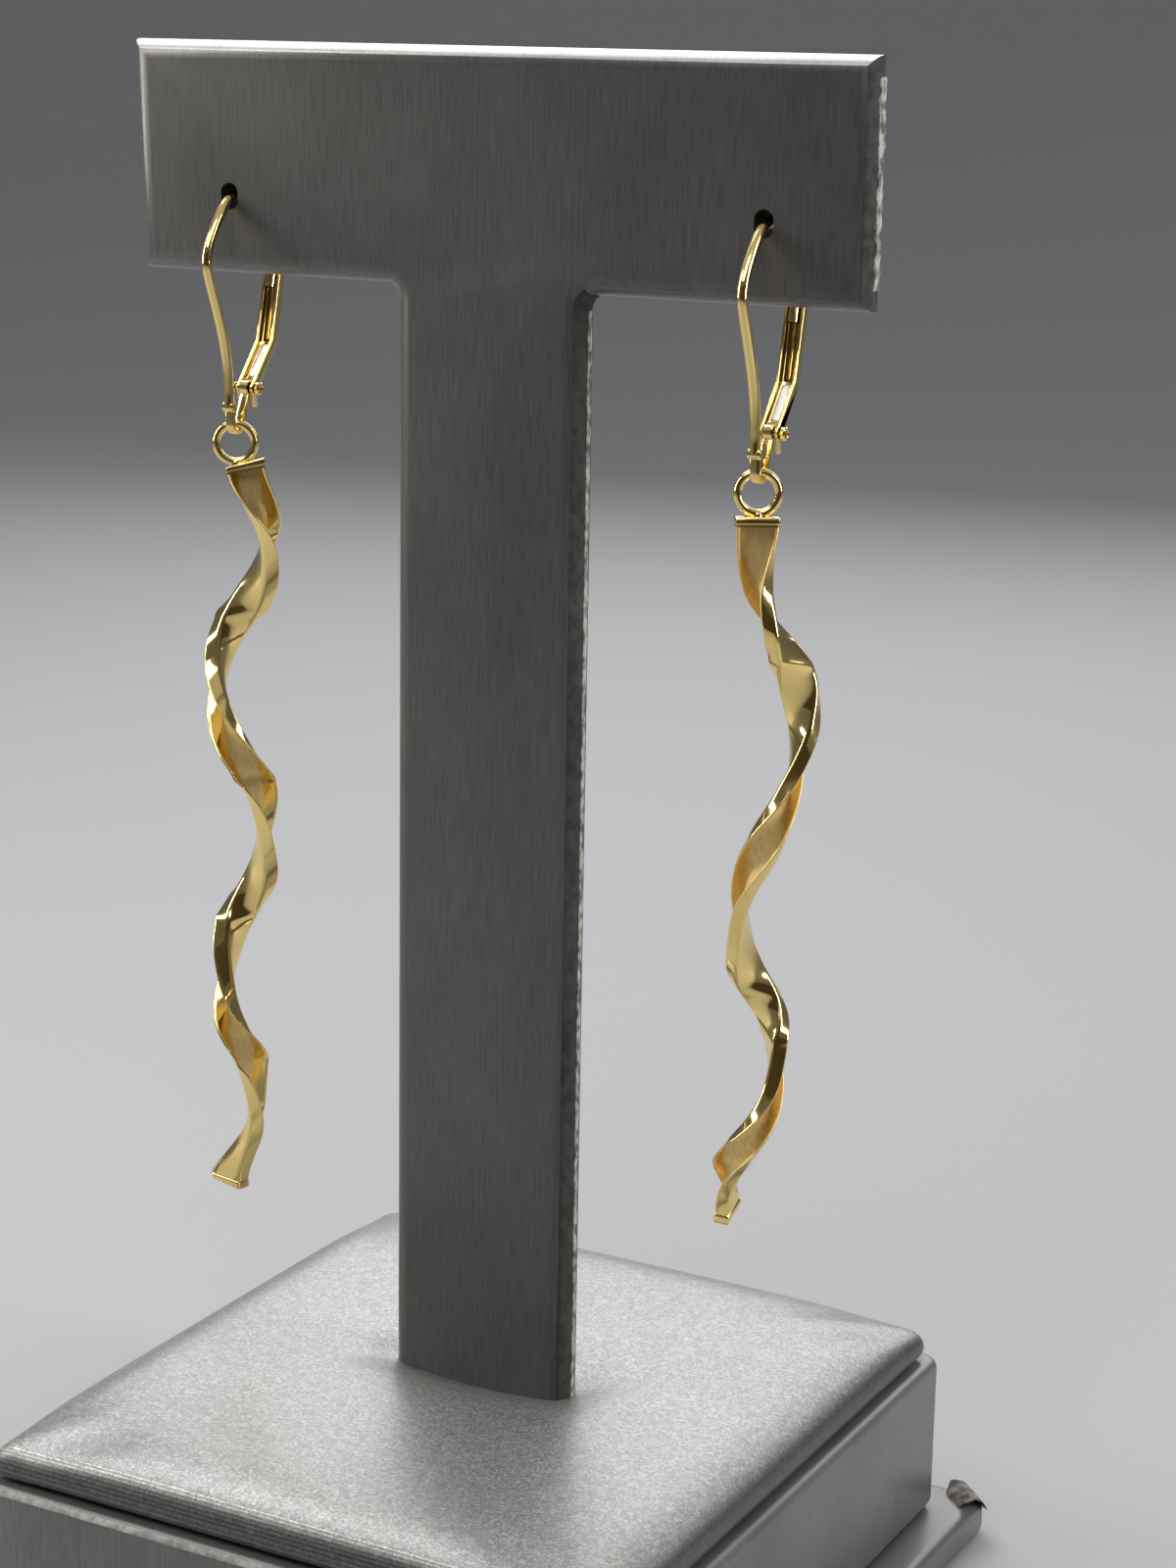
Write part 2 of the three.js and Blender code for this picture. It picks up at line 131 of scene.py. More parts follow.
# Ear wire, measured up and back from the drop's pivot
WIRE_RADIUS = 0.33 * MM
ARCH_CROWN = 14.85 * MM
ARCH_FRONT = -3.0 * MM
ARCH_BACK = 4.79 * MM
ARCH_TIP_BACK = 4.15 * MM
ARCH_BACK_TOP = 11.53 * MM
ARCH_TIP = 8.63 * MM
LOOP_RADIUS = 0.52 * MM
LOOP_THICKNESS = 0.28 * MM
LOOP_MIDDLE = LOOP_RADIUS + LOOP_THICKNESS / 2
LOOP_WIDTH = 0.64 * MM
LOOP_BENDS = 24
STRAP_LAP = 0.15 * MM
STRAP_ROUND = 0.05 * MM
COLLAR_UP = 1.15 * MM
COLLAR_RADIUS = 0.32 * MM
COLLAR_HALF = 0.45 * MM
COLLAR_ROUND = 0.08 * MM
WIRE_STEPS = 140

# Hinge
BOSS_RADIUS = 0.5 * MM
BOSS_ROUND = 0.06 * MM
STRAP_TO_BOSS = BOSS_RADIUS * 0.7
PIN_RADIUS = 0.22 * MM
PIN_PLAY = 0.05 * MM
TAIL_RADIUS = 0.34 * MM
TAIL_LENGTH = 0.12 * MM
TAIL_ROUND = 0.04 * MM
HEAD_RADIUS = 0.42 * MM
HEAD_LENGTH = 0.34 * MM
HEAD_ROUND = 0.08 * MM
HEAD_UNDER_ROUND = 0.06 * MM
RECESS_RADIUS = 0.22 * MM
RECESS_DEPTH = 0.2 * MM
RECESS_ROUND = 0.05 * MM

# Lever's runs, taken back and up from its pin, and what is laid on its channel's floor: a rib, a
# spring and a dark sheet of painted shade
LEVER_BEND = (2.33 * MM, 2.83 * MM)
LEVER_TOP = (3.75 * MM, 9.3 * MM)
LEVER_FLOOR = 0.11 * MM
LEVER_ROUND = 0.07 * MM
LEVER_MERGE = 0.002 * MM
RIB_WIDTH = 0.18 * MM
RIB_HEIGHT = 0.24 * MM
RIB_SPAN = (0.12 * MM, 3.55 * MM)
SPRING_WIDTH = 0.66 * MM
SPRING_HEIGHT = 0.24 * MM
SPRING_SPAN = (0.85 * MM, 3.5 * MM)
# A dark sheet of painted shade over the channel's floor
SHADE_SHEET_WIDTH = 0.72 * MM
SHADE_SHEET_HEIGHT = 0.06 * MM
SHADE_SHEET_SPAN = (0.0, 6.2 * MM)

# Across and down shares of the arch, from the crown's back round to the loop
ARCH_ROWS = (
    {"across": 0.96, "down": 0.13},
    {"across": 0.85, "down": 0.045},
    {"across": 0.66, "down": 0.0},
    {"across": 0.5, "down": 0.0},
    {"across": 0.33, "down": 0.025},
    {"across": 0.19, "down": 0.095},
    {"across": 0.05, "down": 0.2},
    {"across": 0.0, "down": 0.28},
    {"across": 0.03, "down": 0.35},
    {"across": 0.115, "down": 0.46},
    {"across": 0.21, "down": 0.595},
    {"across": 0.27, "down": 0.72},
    {"across": 0.295, "down": 0.84},
)

# Ring and ribbon
RING_RADIUS = 1.25 * MM
RING_WIRE = 0.27 * MM
RING_TURN = math.radians(31)
BEAD_RADIUS = 0.34 * MM
RIBBON_WALL = 0.28 * MM
RIBBON_LIP = 0.25 * MM
LIP_ROUND = RIBBON_LIP * 0.48
RIBBON_REACH = 1.05 * MM
RIBBON_STEPS = 360
RIBBON_FOLD = 0.26 * MM
CREASE_HALF = 0.42 * MM
CREASE_FLARE = 0.13
CREASE_DENT = 0.09 * MM
CAP_HEIGHT = 0.45 * MM
CAP_MARGIN = 0.05 * MM
CAP_CORNER = 0.14 * MM
CAP_ROUND = 0.13 * MM
THIN_ROUND = 0.45
FOOT_HEIGHT = 0.5 * MM
# A thin dark band of painted shade under the head's plate
HEAD_SHADE = 0.14 * MM
HEAD_SHADE_LAP = 0.02 * MM
HEAD_SHADE_SHRINK = 0.97
CAP_SINK = 0.15 * MM
TILT_RUN = 3.0 * MM

SIDES = (
    {
        "name": "left",
        "length": 51.1 * MM,
        "floor": 2.05 * MM,
        "lips": 2.85 * MM,
        "flange": 0.76 * MM,
        "lift": 0.3 * MM,
        "creases": (9.7 * MM, 19.6 * MM, 29.9 * MM, 40.6 * MM),
        "head_tilt": math.radians(-17),
        "foot_tilt": math.radians(-19),
    },
    {
        "name": "right",
        "length": 44.8 * MM,
        "floor": 2.5 * MM,
        "lips": 2.4 * MM,
        "flange": 0.7 * MM,
        "lift": 0.0,
        "creases": (12.1 * MM, 14.8 * MM, 35.9 * MM),
        "head_tilt": 0.0,
        "foot_tilt": math.radians(30),
    },
)

# How each ribbon is wound, from foot to head: turn in degrees, reach and lean as shares of
# RIBBON_REACH, and width as a share of the channel's. The rows weren't chosen by hand: they are
# the rounded result of a program that fitted them to the ribbons' edges in the photograph
WINDINGS = {
    "left": (
        {"turn": 103, "reach": 0.67, "lean": -1.6, "width": 0.93},
        {"turn": 39, "reach": 0.94, "lean": -0.4, "width": 0.63},
        {"turn": -10, "reach": 1.06, "lean": -0.48, "width": 0.94},
        {"turn": -121, "reach": 1.07, "lean": 0.38, "width": 0.79},
        {"turn": -200, "reach": 0.99, "lean": 0.39, "width": 0.99},
        {"turn": -294, "reach": 1.08, "lean": 0.32, "width": 0.98},
        {"turn": -352, "reach": 1.01, "lean": 0.49, "width": 0.92},
        {"turn": -444, "reach": 1.06, "lean": 0.34, "width": 0.97},
        {"turn": -528, "reach": 1.02, "lean": -0.05, "width": 0.81},
        {"turn": -622, "reach": 0.96, "lean": 0.2, "width": 1.15},
        {"turn": -696, "reach": 0.56, "lean": 1.47, "width": 0.9},
        {"turn": -785, "reach": 0.2, "lean": 0.9, "width": 0.9},
    ),
    "right": (
        {"turn": 178, "reach": -0.23, "lean": -0.7, "width": 0.68},
        {"turn": 267, "reach": 0.91, "lean": 0.36, "width": 1.0},
        {"turn": 362, "reach": 1.12, "lean": 0.68, "width": 0.74},
        {"turn": 417, "reach": 0.93, "lean": 1.04, "width": 0.86},
        {"turn": 522, "reach": 1.0, "lean": 1.0, "width": 1.04},
        {"turn": 568, "reach": 0.85, "lean": 0.76, "width": 0.81},
        {"turn": 635, "reach": 0.81, "lean": 1.25, "width": 0.98},
        {"turn": 723, "reach": 1.06, "lean": 1.3, "width": 0.74},
        {"turn": 795, "reach": 1.14, "lean": 2.33, "width": 0.87},
        {"turn": 881, "reach": 1.05, "lean": 3.16, "width": 1.05},
        {"turn": 966, "reach": 0.31, "lean": 0.58, "width": 0.79},
        {"turn": 1021, "reach": 0.2, "lean": -0.05, "width": 1.09},
    ),
}

# The sweep behind and round the stand
SWEEP_FLAT = 0.55
SWEEP_WALL = 1.0
SWEEP_TOP = 0.9
SWEEP_STEPS = 12
FLOOR_GAP = 0.01 * MM
FLOOR_TONE = (0.36, 0.36, 0.37)

# A dark curtain round the camera, for dark lines in the polished metal
CURTAIN_REACH = 0.4
CURTAIN_TOP = 0.27
CURTAIN_MIDDLE = math.radians(-60)
CURTAIN_HALF = math.radians(42)
CURTAIN_TONE = (0.05, 0.035, 0.015)

# Soft boxes, each turned to the middle of the stand
LIGHT_AIM = Vector((0, 0, 0.055))
LIGHTS = (
    {"name": "top_light", "place": (-0.18, 0.14, 0.4), "size": (0.34, 0.24), "power": 1.2},
    {"name": "back_light", "place": (-0.1, 0.42, 0.24), "size": (0.5, 0.16), "power": 0.8},
    {"name": "front_box", "place": (0.02, -0.27, 0.42), "size": (0.26, 0.2), "power": 0.55},
    {
        "name": "left_strip",
        "place": (-0.22, -0.1, 0.16),
        "size": (0.04, 0.2),
        "power": 0.36,
        "colour": (1.0, 0.97, 0.9),
    },
    {
        "name": "right_strip",
        "place": (0.24, 0.03, 0.16),
        "size": (0.04, 0.2),
        "power": 0.4,
        "colour": (1.0, 0.98, 0.94),
    },
)
ROOM_TONE = (0.95, 0.97, 1.0)
ROOM_STRENGTH = 0.42

# Camera at the photograph's viewpoint, from a fit to the stand's edges
CAMERA_PLACE = Vector((98.54, -169.14, 106.35)) * MM
CAMERA_YAW = 0.494
CAMERA_PITCH = -0.241
CAMERA_ROLL = 0.017
CAMERA_LENS = 71.85

# Points nearer than this are one, and lengths nearer than these are the same
MERGE_GAP = 0.0005 * MM
NEAR = 0.001 * MM
SLACK = 0.01 * MM

# Which of the plate's materials a face has: the front, painted shade in the holes, worn edges
# with a painted highlight, a painted highlight on the bar's top, and painted shade on the
# right-hand edges
FRONT, HOLE_SHADE, WORN_AND_HIGHLIT, TOP_HIGHLIGHT, RIGHT_SHADE = range(5)


def node_input(material, name):
    return material.node_tree.nodes["Principled BSDF"].inputs[name]


def new_material(name, colour, roughness, metallic=0.0):
    material = bpy.data.materials.new(name)
    material.use_nodes = True
    node_input(material, "Base Color").default_value = (*colour, 1.0)
    node_input(material, "Roughness").default_value = roughness
    node_input(material, "Metallic").default_value = metallic
    return material


def noise_field(material, scale, stretch, detail, curl=0.0):
    """A noise texture on object coordinates, stretched along the axes and curled on itself."""
    nodes = material.node_tree.nodes
    links = material.node_tree.links
    place = nodes.new("ShaderNodeTexCoord")
    mapping = nodes.new("ShaderNodeMapping")
    texture = nodes.new("ShaderNodeTexNoise")
    mapping.inputs["Scale"].default_value = stretch
    texture.inputs["Scale"].default_value = scale
    texture.inputs["Detail"].default_value = detail
    texture.inputs["Distortion"].default_value = curl
    links.new(place.outputs["Object"], mapping.inputs["Vector"])
    links.new(mapping.outputs["Vector"], texture.inputs["Vector"])
    return texture.outputs["Fac"]


def grey(tone):
    return (tone, tone, tone)


def ramp(material, source, stops):
    """Colours along a value between 0 and 1."""
    node = material.node_tree.nodes.new("ShaderNodeValToRGB")
    elements = node.color_ramp.elements
    while len(elements) < len(stops):
        elements.new(0.5)
    for element, (place, colour) in zip(elements, stops):
        element.position = place
        element.color = (*colour, 1.0)
    material.node_tree.links.new(source, node.inputs["Fac"])
    return node.outputs["Color"]


def add_bump(material, source, strength, distance):
    node = material.node_tree.nodes.new("ShaderNodeBump")
    node.inputs["Strength"].default_value = strength
    node.inputs["Distance"].default_value = distance
    material.node_tree.links.new(source, node.inputs["Height"])
    material.node_tree.links.new(node.outputs["Normal"], node_input(material, "Normal"))


def math_node(material, operation, first, second=0.0):
    """One step of arithmetic on two values, each a float or a socket."""
    node = material.node_tree.nodes.new("ShaderNodeMath")
    node.operation = operation
    for socket, value in zip(node.inputs, (first, second)):
        if isinstance(value, float):
            socket.default_value = value
        else:
            material.node_tree.links.new(value, socket)
    return node.outputs["Value"]


def own_axes(material):
    """The object's own X, Y and Z, in metres."""
    nodes = material.node_tree.nodes
    place = nodes.new("ShaderNodeTexCoord")
    split = nodes.new("ShaderNodeSeparateXYZ")
    material.node_tree.links.new(place.outputs["Object"], split.inputs["Vector"])
    return split.outputs["X"], split.outputs["Y"], split.outputs["Z"]


def inward_share(material, axis, edge, run):
    """0 at both edges along an axis and 1 at a distance inwards."""
    across = math_node(material, "ABSOLUTE", axis)
    left = math_node(material, "SUBTRACT", float(edge), across)
    return math_node(material, "DIVIDE", left, float(run))


def ridge_highlight_share(material, deep, high):
    """1 along fine level lines of painted highlight over the cushion's front roll, and 0
    elsewhere.
    """
    along = math_node(material, "ADD", deep, high)
    turns = math_node(material, "MULTIPLY", along, 2 * math.pi / RIDGE_PITCH)
    pale = math_node(material, "GREATER_THAN", math_node(material, "SINE", turns), RIDGE_CUT)
    behind = math_node(material, "GREATER_THAN", deep, float(PAD_LOW.y + RIDGE_SPAN[0]))
    before = math_node(material, "LESS_THAN", deep, float(PAD_LOW.y + RIDGE_SPAN[1]))
    within = math_node(material, "MULTIPLY", behind, before)
    return math_node(material, "MULTIPLY", pale, within)


def wrap_base(name, colour, roughness):
    """Leatherette with a slightly metallic sheen under a satin top coat."""
    material = new_material(name, colour, roughness, metallic=0.45)
    node_input(material, "Coat Weight").default_value = 0.55
    node_input(material, "Coat Roughness").default_value = 0.3
    return material


def shaded(material, first, second):
    """Two colours multiplied."""
    node = material.node_tree.nodes.new("ShaderNodeMix")
    node.data_type = "RGBA"
    node.blend_type = "MULTIPLY"
    node.inputs["Factor"].default_value = 1.0
    material.node_tree.links.new(first, node.inputs["A"])
    material.node_tree.links.new(second, node.inputs["B"])
    return node.outputs["Result"]


def streaked_wrap(name, dark, light, roughness):
    """Leatherette with fine upright streaks over a slow change of tone."""
    material = wrap_base(name, dark, roughness)
    streaks = noise_field(material, scale=6500.0, stretch=(1.0, 1.0, 0.06), detail=3.0)
    clouds = noise_field(material, scale=160.0, stretch=(1.0, 1.0, 0.6), detail=2.0)
    fine = ramp(material, streaks, ((0.3, dark), (0.72, light)))
    slow = ramp(material, clouds, ((0.3, grey(0.8)), (0.7, grey(1.0))))
    colour = shaded(material, fine, slow)
    material.node_tree.links.new(colour, node_input(material, "Base Color"))
    add_bump(material, streaks, strength=0.18, distance=0.03 * MM)
    return material


def speckled_wrap(name, dark, light, roughness):
    """Leatherette with short curled speckles, with painted shade where it rolls over the edges
    and painted highlight lines along its front roll.
    """
    material = wrap_base(name, dark, roughness)
    speckle = noise_field(material, scale=3000.0, stretch=(0.8, 1.0, 1.0), detail=2.0, curl=2.2)
    fine = ramp(material, speckle, ((0.42, dark), (0.66, light)))
    along, deep, high = own_axes(material)
    # Painted shade over the rolled edges, a little lighter at the very lip
    sides = inward_share(material, along, PAD_HIGH.x, SIDE_SHADE_RUN)
    ends = inward_share(material, deep, PAD_HIGH.y, FRONT_SHADE_RUN)
    inward = math_node(material, "MINIMUM", sides, ends)
    roll_shade_stops = ((0.1, grey(0.5)), (0.3, grey(0.24)), (0.72, grey(0.3)), (1.0, grey(1.0)))
    rolled = shaded(material, fine, ramp(material, inward, roll_shade_stops))
    # Painted highlight along fine ridge lines on the front roll
    highlight_lines = ridge_highlight_share(material, deep, high)
    lines = ramp(material, highlight_lines, ((0.0, grey(1.0)), (1.0, grey(2.0))))
    colour = shaded(material, rolled, lines)
    material.node_tree.links.new(colour, node_input(material, "Base Color"))
    add_bump(material, speckle, strength=0.25, distance=0.04 * MM)
    return material


def patchy_wrap(name, dark, light, roughness):
    """The wrap, paler and darker in patches: a cut, torn or frayed edge with pale fibres showing,
    or, in its darkest use, painted shade.
    """
    material = new_material(name, light, roughness)
    patchiness = noise_field(material, scale=1900.0, stretch=(1.0, 1.0, 0.7), detail=5.0)
    colour = ramp(material, patchiness, ((0.38, dark), (0.6, light)))
    material.node_tree.links.new(colour, node_input(material, "Base Color"))
    add_bump(material, patchiness, strength=0.6, distance=0.08 * MM)
    return material


def satin_metal(name, colour, roughness):
    """Gold with a fine brushed grain."""
    material = new_material(name, colour, roughness, metallic=1.0)
    grain = noise_field(material, scale=5200.0, stretch=(1.0, 1.0, 0.35), detail=3.0)
    shade = ramp(material, grain, ((0.3, tuple(0.8 * c for c in colour)), (0.7, colour)))
    material.node_tree.links.new(shade, node_input(material, "Base Color"))
    add_bump(material, grain, strength=0.12, distance=0.02 * MM)
    return material


def polished_metal(name, colour, roughness):
    """Bright metal with slow changes of gloss, as handling leaves on it."""
    material = new_material(name, colour, roughness, metallic=1.0)
    smears = noise_field(material, scale=700.0, stretch=(1.0, 1.0, 1.0), detail=2.0)
    glossy = grey(roughness * 0.7)
    dull = grey(roughness * 1.5)
    gloss = ramp(material, smears, ((0.35, glossy), (0.7, dull)))
    material.node_tree.links.new(gloss, node_input(material, "Roughness"))
    add_bump(material, smears, strength=0.3, distance=0.04 * MM)
    return material


WRAP_DARK = streaked_wrap(
    "wrap_dark_streaked", (0.082, 0.0803, 0.0765), (0.125, 0.1225, 0.1175), 0.42)
WRAP_SIDE = streaked_wrap("wrap_light_streaked", (0.14, 0.139, 0.136), (0.2, 0.199, 0.194), 0.44)
# Paler rounded left and underside of the bar: partly worn, partly painted highlight
WRAP_EDGE = streaked_wrap("wrap_dark_edge_wear_and_painted_highlight", (0.115, 0.114, 0.11), (0.18, 0.178, 0.174), 0.46)
# Painted highlight on the bar's rounded top, where light from above falls
WRAP_TOP_HIGHLIGHT = streaked_wrap("wrap_dark_painted_top_highlight", (0.38, 0.378, 0.37), (0.5, 0.498, 0.49), 0.46)
WRAP_SEAM = patchy_wrap("wrap_dark_frayed_seam", (0.11, 0.108, 0.1), (0.5, 0.51, 0.48), 0.7)
# The cushion's wrap, with painted shade on its rolls and painted highlight lines on its front
# roll
WRAP_LIGHT = speckled_wrap("wrap_light_speckled_painted_shade_and_highlight", (0.19, 0.188, 0.184), (0.38, 0.378, 0.37), 0.44)
WRAP_FRAYED = patchy_wrap("wrap_light_frayed_rim", (0.22, 0.219, 0.21), (0.4, 0.4, 0.385), 0.6)
# Painted shade down the plate's right-hand rounded edges
WRAP_RIGHT_SHADE = patchy_wrap("wrap_dark_painted_edge_shade", (0.035, 0.034, 0.032), (0.06, 0.059, 0.056), 0.85)
WRAP_TORN = patchy_wrap("wrap_torn_core", (0.05, 0.044, 0.037), (0.2, 0.185, 0.165), 0.85)
GOLD_POLISHED = polished_metal("gold_polished", (0.95, 0.73, 0.29), 0.1)
GOLD_SATIN = satin_metal("gold_satin", (1.0, 0.76, 0.34), 0.5)
# Dark gold of painted shade, under the head caps and over the lever's channel floor
GOLD_SHADED = satin_metal("gold_painted_shade", (0.3, 0.2, 0.08), 0.4)
STEEL_SPRING = polished_metal("lever_spring_bright", (0.95, 0.93, 0.9), 0.4)
# Near-black painted shade inside the plate's holes
HOLE_PAINTED_SHADE = new_material("hole_painted_shade", (0.012, 0.011, 0.011), 0.9)


def mark_smooth(bm, degrees):
    """Smooth faces, with edges kept sharp where they turn more than an angle."""
    limit = math.radians(degrees)
    for face in bm.faces:
        face.smooth = True
    for edge in bm.edges:
        if len(edge.link_faces) == 2:
            edge.smooth = edge.calc_face_angle(0.0) < limit


def finish_piece(name, bm, body, nodes, materials, sharp=35):
    """Turns a bmesh into a piece that rides on a body and stands for CAD nodes."""
    bmesh.ops.remove_doubles(bm, verts=bm.verts, dist=MERGE_GAP)
    bmesh.ops.recalc_face_normals(bm, faces=bm.faces)
    mark_smooth(bm, sharp)
    mesh = bpy.data.meshes.new(name)
    bm.to_mesh(mesh)
    bm.free()
    piece = bpy.data.objects.new(name, mesh)
    bpy.context.scene.collection.objects.link(piece)
    for material in materials:
        mesh.materials.append(material)
    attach(piece, body)
    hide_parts(*nodes)
    return piece


def finish_metal(side, word, bm, body, node, material, sharp=35):
    """A bright piece of one earring, on the stand or on one of the earring's own bodies."""
    name = side["name"]
    if body != "stand":
        body = f"{name}_{body}"
    finish_piece(f"{word}_{name}", bm, body, [f"{node}_{name}"], [material], sharp)


def drop_pivot(side):
    return JOINTS[f"{side['name']}_drop_swing"]


def lever_pin(side):
    return JOINTS[f"{side['name']}_lever_hinge"]


def bevel_edges(bm, edges, offset, segments):
    bmesh.ops.bevel(
        bm,
        geom=list(edges),
        offset=offset,
        segments=segments,
        profile=0.5,
        affect="EDGES",
        material=-1,
    )


def box_bmesh(low, high):
    """A cube stretched between two corners."""
    bm = bmesh.new()
    bmesh.ops.create_cube(bm, size=1.0)
    size = high - low
    bmesh.ops.scale(bm, verts=bm.verts, vec=size)
    bmesh.ops.translate(bm, verts=bm.verts, vec=(low + high) / 2)
    return bm


def upright_edges(bm):
    return [e for e in bm.edges if (e.verts[0].co - e.verts[1].co).xy.length < NEAR]


def level_edges(bm, height):
    return [e for e in bm.edges if all(abs(v.co.z - height) < NEAR for v in e.verts)]


def sharp_edges(bm, degrees):
    limit = math.radians(degrees)
    return [e for e in bm.edges if len(e.link_faces) == 2 and e.calc_face_angle(0.0) > limit]


# Stand
def make_plinth():
    bm = box_bmesh(PLINTH_LOW, PLINTH_HIGH)
    bevel_edges(bm, upright_edges(bm), PLINTH_CORNER, 5)
    rims = level_edges(bm, PLINTH_LOW.z) + level_edges(bm, PLINTH_HIGH.z)
    bevel_edges(bm, rims, PLINTH_EDGE, 5)
    finish_piece("plinth_wrapped", bm, "stand", ["stand_plinth"], [WRAP_SIDE], 50)


def make_torn_wrap():
    """The wrap's torn flap at the plinth's right-hand back corner, curled off the board."""
    half = TEAR_SIZE / 2
    bm = bmesh.new()
    bmesh.ops.create_grid(bm, x_segments=12, y_segments=12, size=half)
    for vert in bm.verts:
        across, deep = vert.co.xy / half
        vert.co.x *= math.sqrt(1 - deep**2 / 2)
        vert.co.y *= math.sqrt(1 - across**2 / 2)
        out = max((vert.co.x + vert.co.y) / TEAR_SIZE + 0.5, 0.0)
        crumple = noise.noise(vert.co / TEAR_GRAIN + TEAR_START)
        curl = TEAR_CURL * out * (1 - out) * 2
        dip = TEAR_DIP * (1 - out) ** 3
        vert.co.z = curl + TEAR_CRUMPLE * crumple * out - dip
        vert.co.x -= TEAR_SHIFT * crumple
    bmesh.ops.solidify(bm, geom=bm.faces[:], thickness=TEAR_THICKNESS)
    inset = Vector((TEAR_SIZE * TEAR_INSET[0], TEAR_SIZE * TEAR_INSET[1], 0))
    bmesh.ops.translate(bm, verts=bm.verts, vec=PLINTH_HIGH - inset)
    finish_piece("wrap_torn_corner", bm, "stand", ["stand_plinth"], [WRAP_TORN], 60)


def make_block():
    """The box under the pad, with its wrap frayed along the upper front rim."""
    bm = box_bmesh(BLOCK_LOW, BLOCK_HIGH)
    bevel_edges(bm, upright_edges(bm), BLOCK_CORNER, 8)
    rims = level_edges(bm, BLOCK_LOW.z) + level_edges(bm, BLOCK_HIGH.z)
    bevel_edges(bm, rims, BLOCK_EDGE, 5)
    for face in bm.faces:
        forward = face.normal.y < -0.3
        upward = 0.35 < face.normal.z < 0.8
        if forward and upward:
            face.material_index = 1
    materials = [WRAP_SIDE, WRAP_FRAYED]
    finish_piece("block_wrapped", bm, "stand", ["stand_block"], materials, 50)


def plate_outline(bm):
    """The T as one upright face at the plate's front."""
    half = PLATE_HIGH.x
    top = PLATE_HIGH.z
    corners = (
        (-STEM_HALF, PLATE_LOW.z),
        (STEM_HALF, PLATE_LOW.z),
        (STEM_HALF, BAR_UNDER),
        (half, BAR_UNDER),
        (half, top),
        (-half, top),
        (-half, BAR_UNDER),
        (-STEM_HALF, BAR_UNDER),
    )
    ring = [bm.verts.new((x, PLATE_LOW.y, z)) for x, z in corners]
    bm.faces.new(ring)
    inner = [v for v in ring if abs(v.co.z - BAR_UNDER) < SLACK and abs(v.co.x) < half / 2]
    bmesh.ops.bevel(
        bm,
        geom=inner,
        offset=PLATE_FILLET,
        segments=6,
        profile=0.5,
        affect="VERTICES",
        material=-1,
    )


def hole_cutter(pivot):
    """The rounded slot that an ear wire goes through."""
    bm = bmesh.new()
    stretch = (HOLE_HEIGHT - HOLE_WIDTH) / 2
    bmesh.ops.create_circle(bm, cap_ends=True, segments=32, radius=HOLE_WIDTH / 2)
    upright = Matrix.Rotation(math.pi / 2, 3, "X")
    bmesh.ops.rotate(bm, verts=bm.verts, cent=(0, 0, 0), matrix=upright)
    for vert in bm.verts:
        vert.co.z += math.copysign(stretch, vert.co.z)
    thick = (PLATE_HIGH.y - PLATE_LOW.y) * 2
    pushed = bmesh.ops.extrude_face_region(bm, geom=bm.faces[:])
    verts = [g for g in pushed["geom"] if isinstance(g, bmesh.types.BMVert)]
    bmesh.ops.translate(bm, verts=verts, vec=(0, thick, 0))
    middle = Vector((pivot.x, PLATE_LOW.y - thick / 4, pivot.z + HOLE_ABOVE_PIVOT))
    bmesh.ops.translate(bm, verts=bm.verts, vec=middle)
    bmesh.ops.recalc_face_normals(bm, faces=bm.faces)
    mesh = bpy.data.meshes.new("hole_cutter")
    bm.to_mesh(mesh)
    bm.free()
    cutter = bpy.data.objects.new("hole_cutter", mesh)
    bpy.context.scene.collection.objects.link(cutter)
    return cutter


def cut_holes(bm, cutters):
    """Cuts the slots out of a bmesh with exact booleans and returns a new bmesh."""
    mesh = bpy.data.meshes.new("plate_uncut")
    bm.to_mesh(mesh)
    bm.free()
    plate = bpy.data.objects.new("plate_uncut", mesh)
    bpy.context.scene.collection.objects.link(plate)
    for cutter in cutters:
        cut = plate.modifiers.new("cut", "BOOLEAN")
        cut.operation = "DIFFERENCE"
        cut.solver = "EXACT"
        cut.object = cutter
    bpy.context.view_layer.update()
    depsgraph = bpy.context.evaluated_depsgraph_get()
    done = bmesh.new()
    done.from_mesh(plate.evaluated_get(depsgraph).to_mesh())
    for thing in (plate, *cutters):
        bpy.data.objects.remove(thing)
    return done


def flare_bar(bm):
    """Leans the bar's left end out a little towards its top, and draws its right end in."""
    for vert in bm.verts:
        left = max(1 - (vert.co.x - PLATE_LOW.x) / FLARE_RUN, 0.0)
        right = max(1 - (PLATE_HIGH.x - vert.co.x) / FLARE_RUN, 0.0)
        up = max((vert.co.z - BAR_UNDER) / BAR_HEIGHT, 0.0)
        flare = BAR_FLARE[0] + (BAR_FLARE[1] - BAR_FLARE[0]) * up
        vert.co.x -= left * flare + right * BAR_TRIM


def edge_index(face):
    """Which wrap a face of the plate has: painted shade down the right-hand edges, a painted
    highlight on the bar's rounded top, and paler worn edges with a painted highlight on its
    rounded left and underside."""
    rounded = -0.85 < face.normal.y < 0.2
    rightward = face.normal.x > 0.35
    upward = face.normal.z > 0.3
    on_bar = face.calc_center_median().z >= BAR_UNDER - PLATE_FILLET
    # Painted shade down the right-hand rounded edges
    if rounded and rightward:
        return RIGHT_SHADE
    if not (rounded and on_bar):
        return FRONT
    # A painted highlight on the bar's rounded top, and worn edges with a painted highlight on its
    # rounded left and underside
    return TOP_HIGHLIGHT if upward else WORN_AND_HIGHLIT


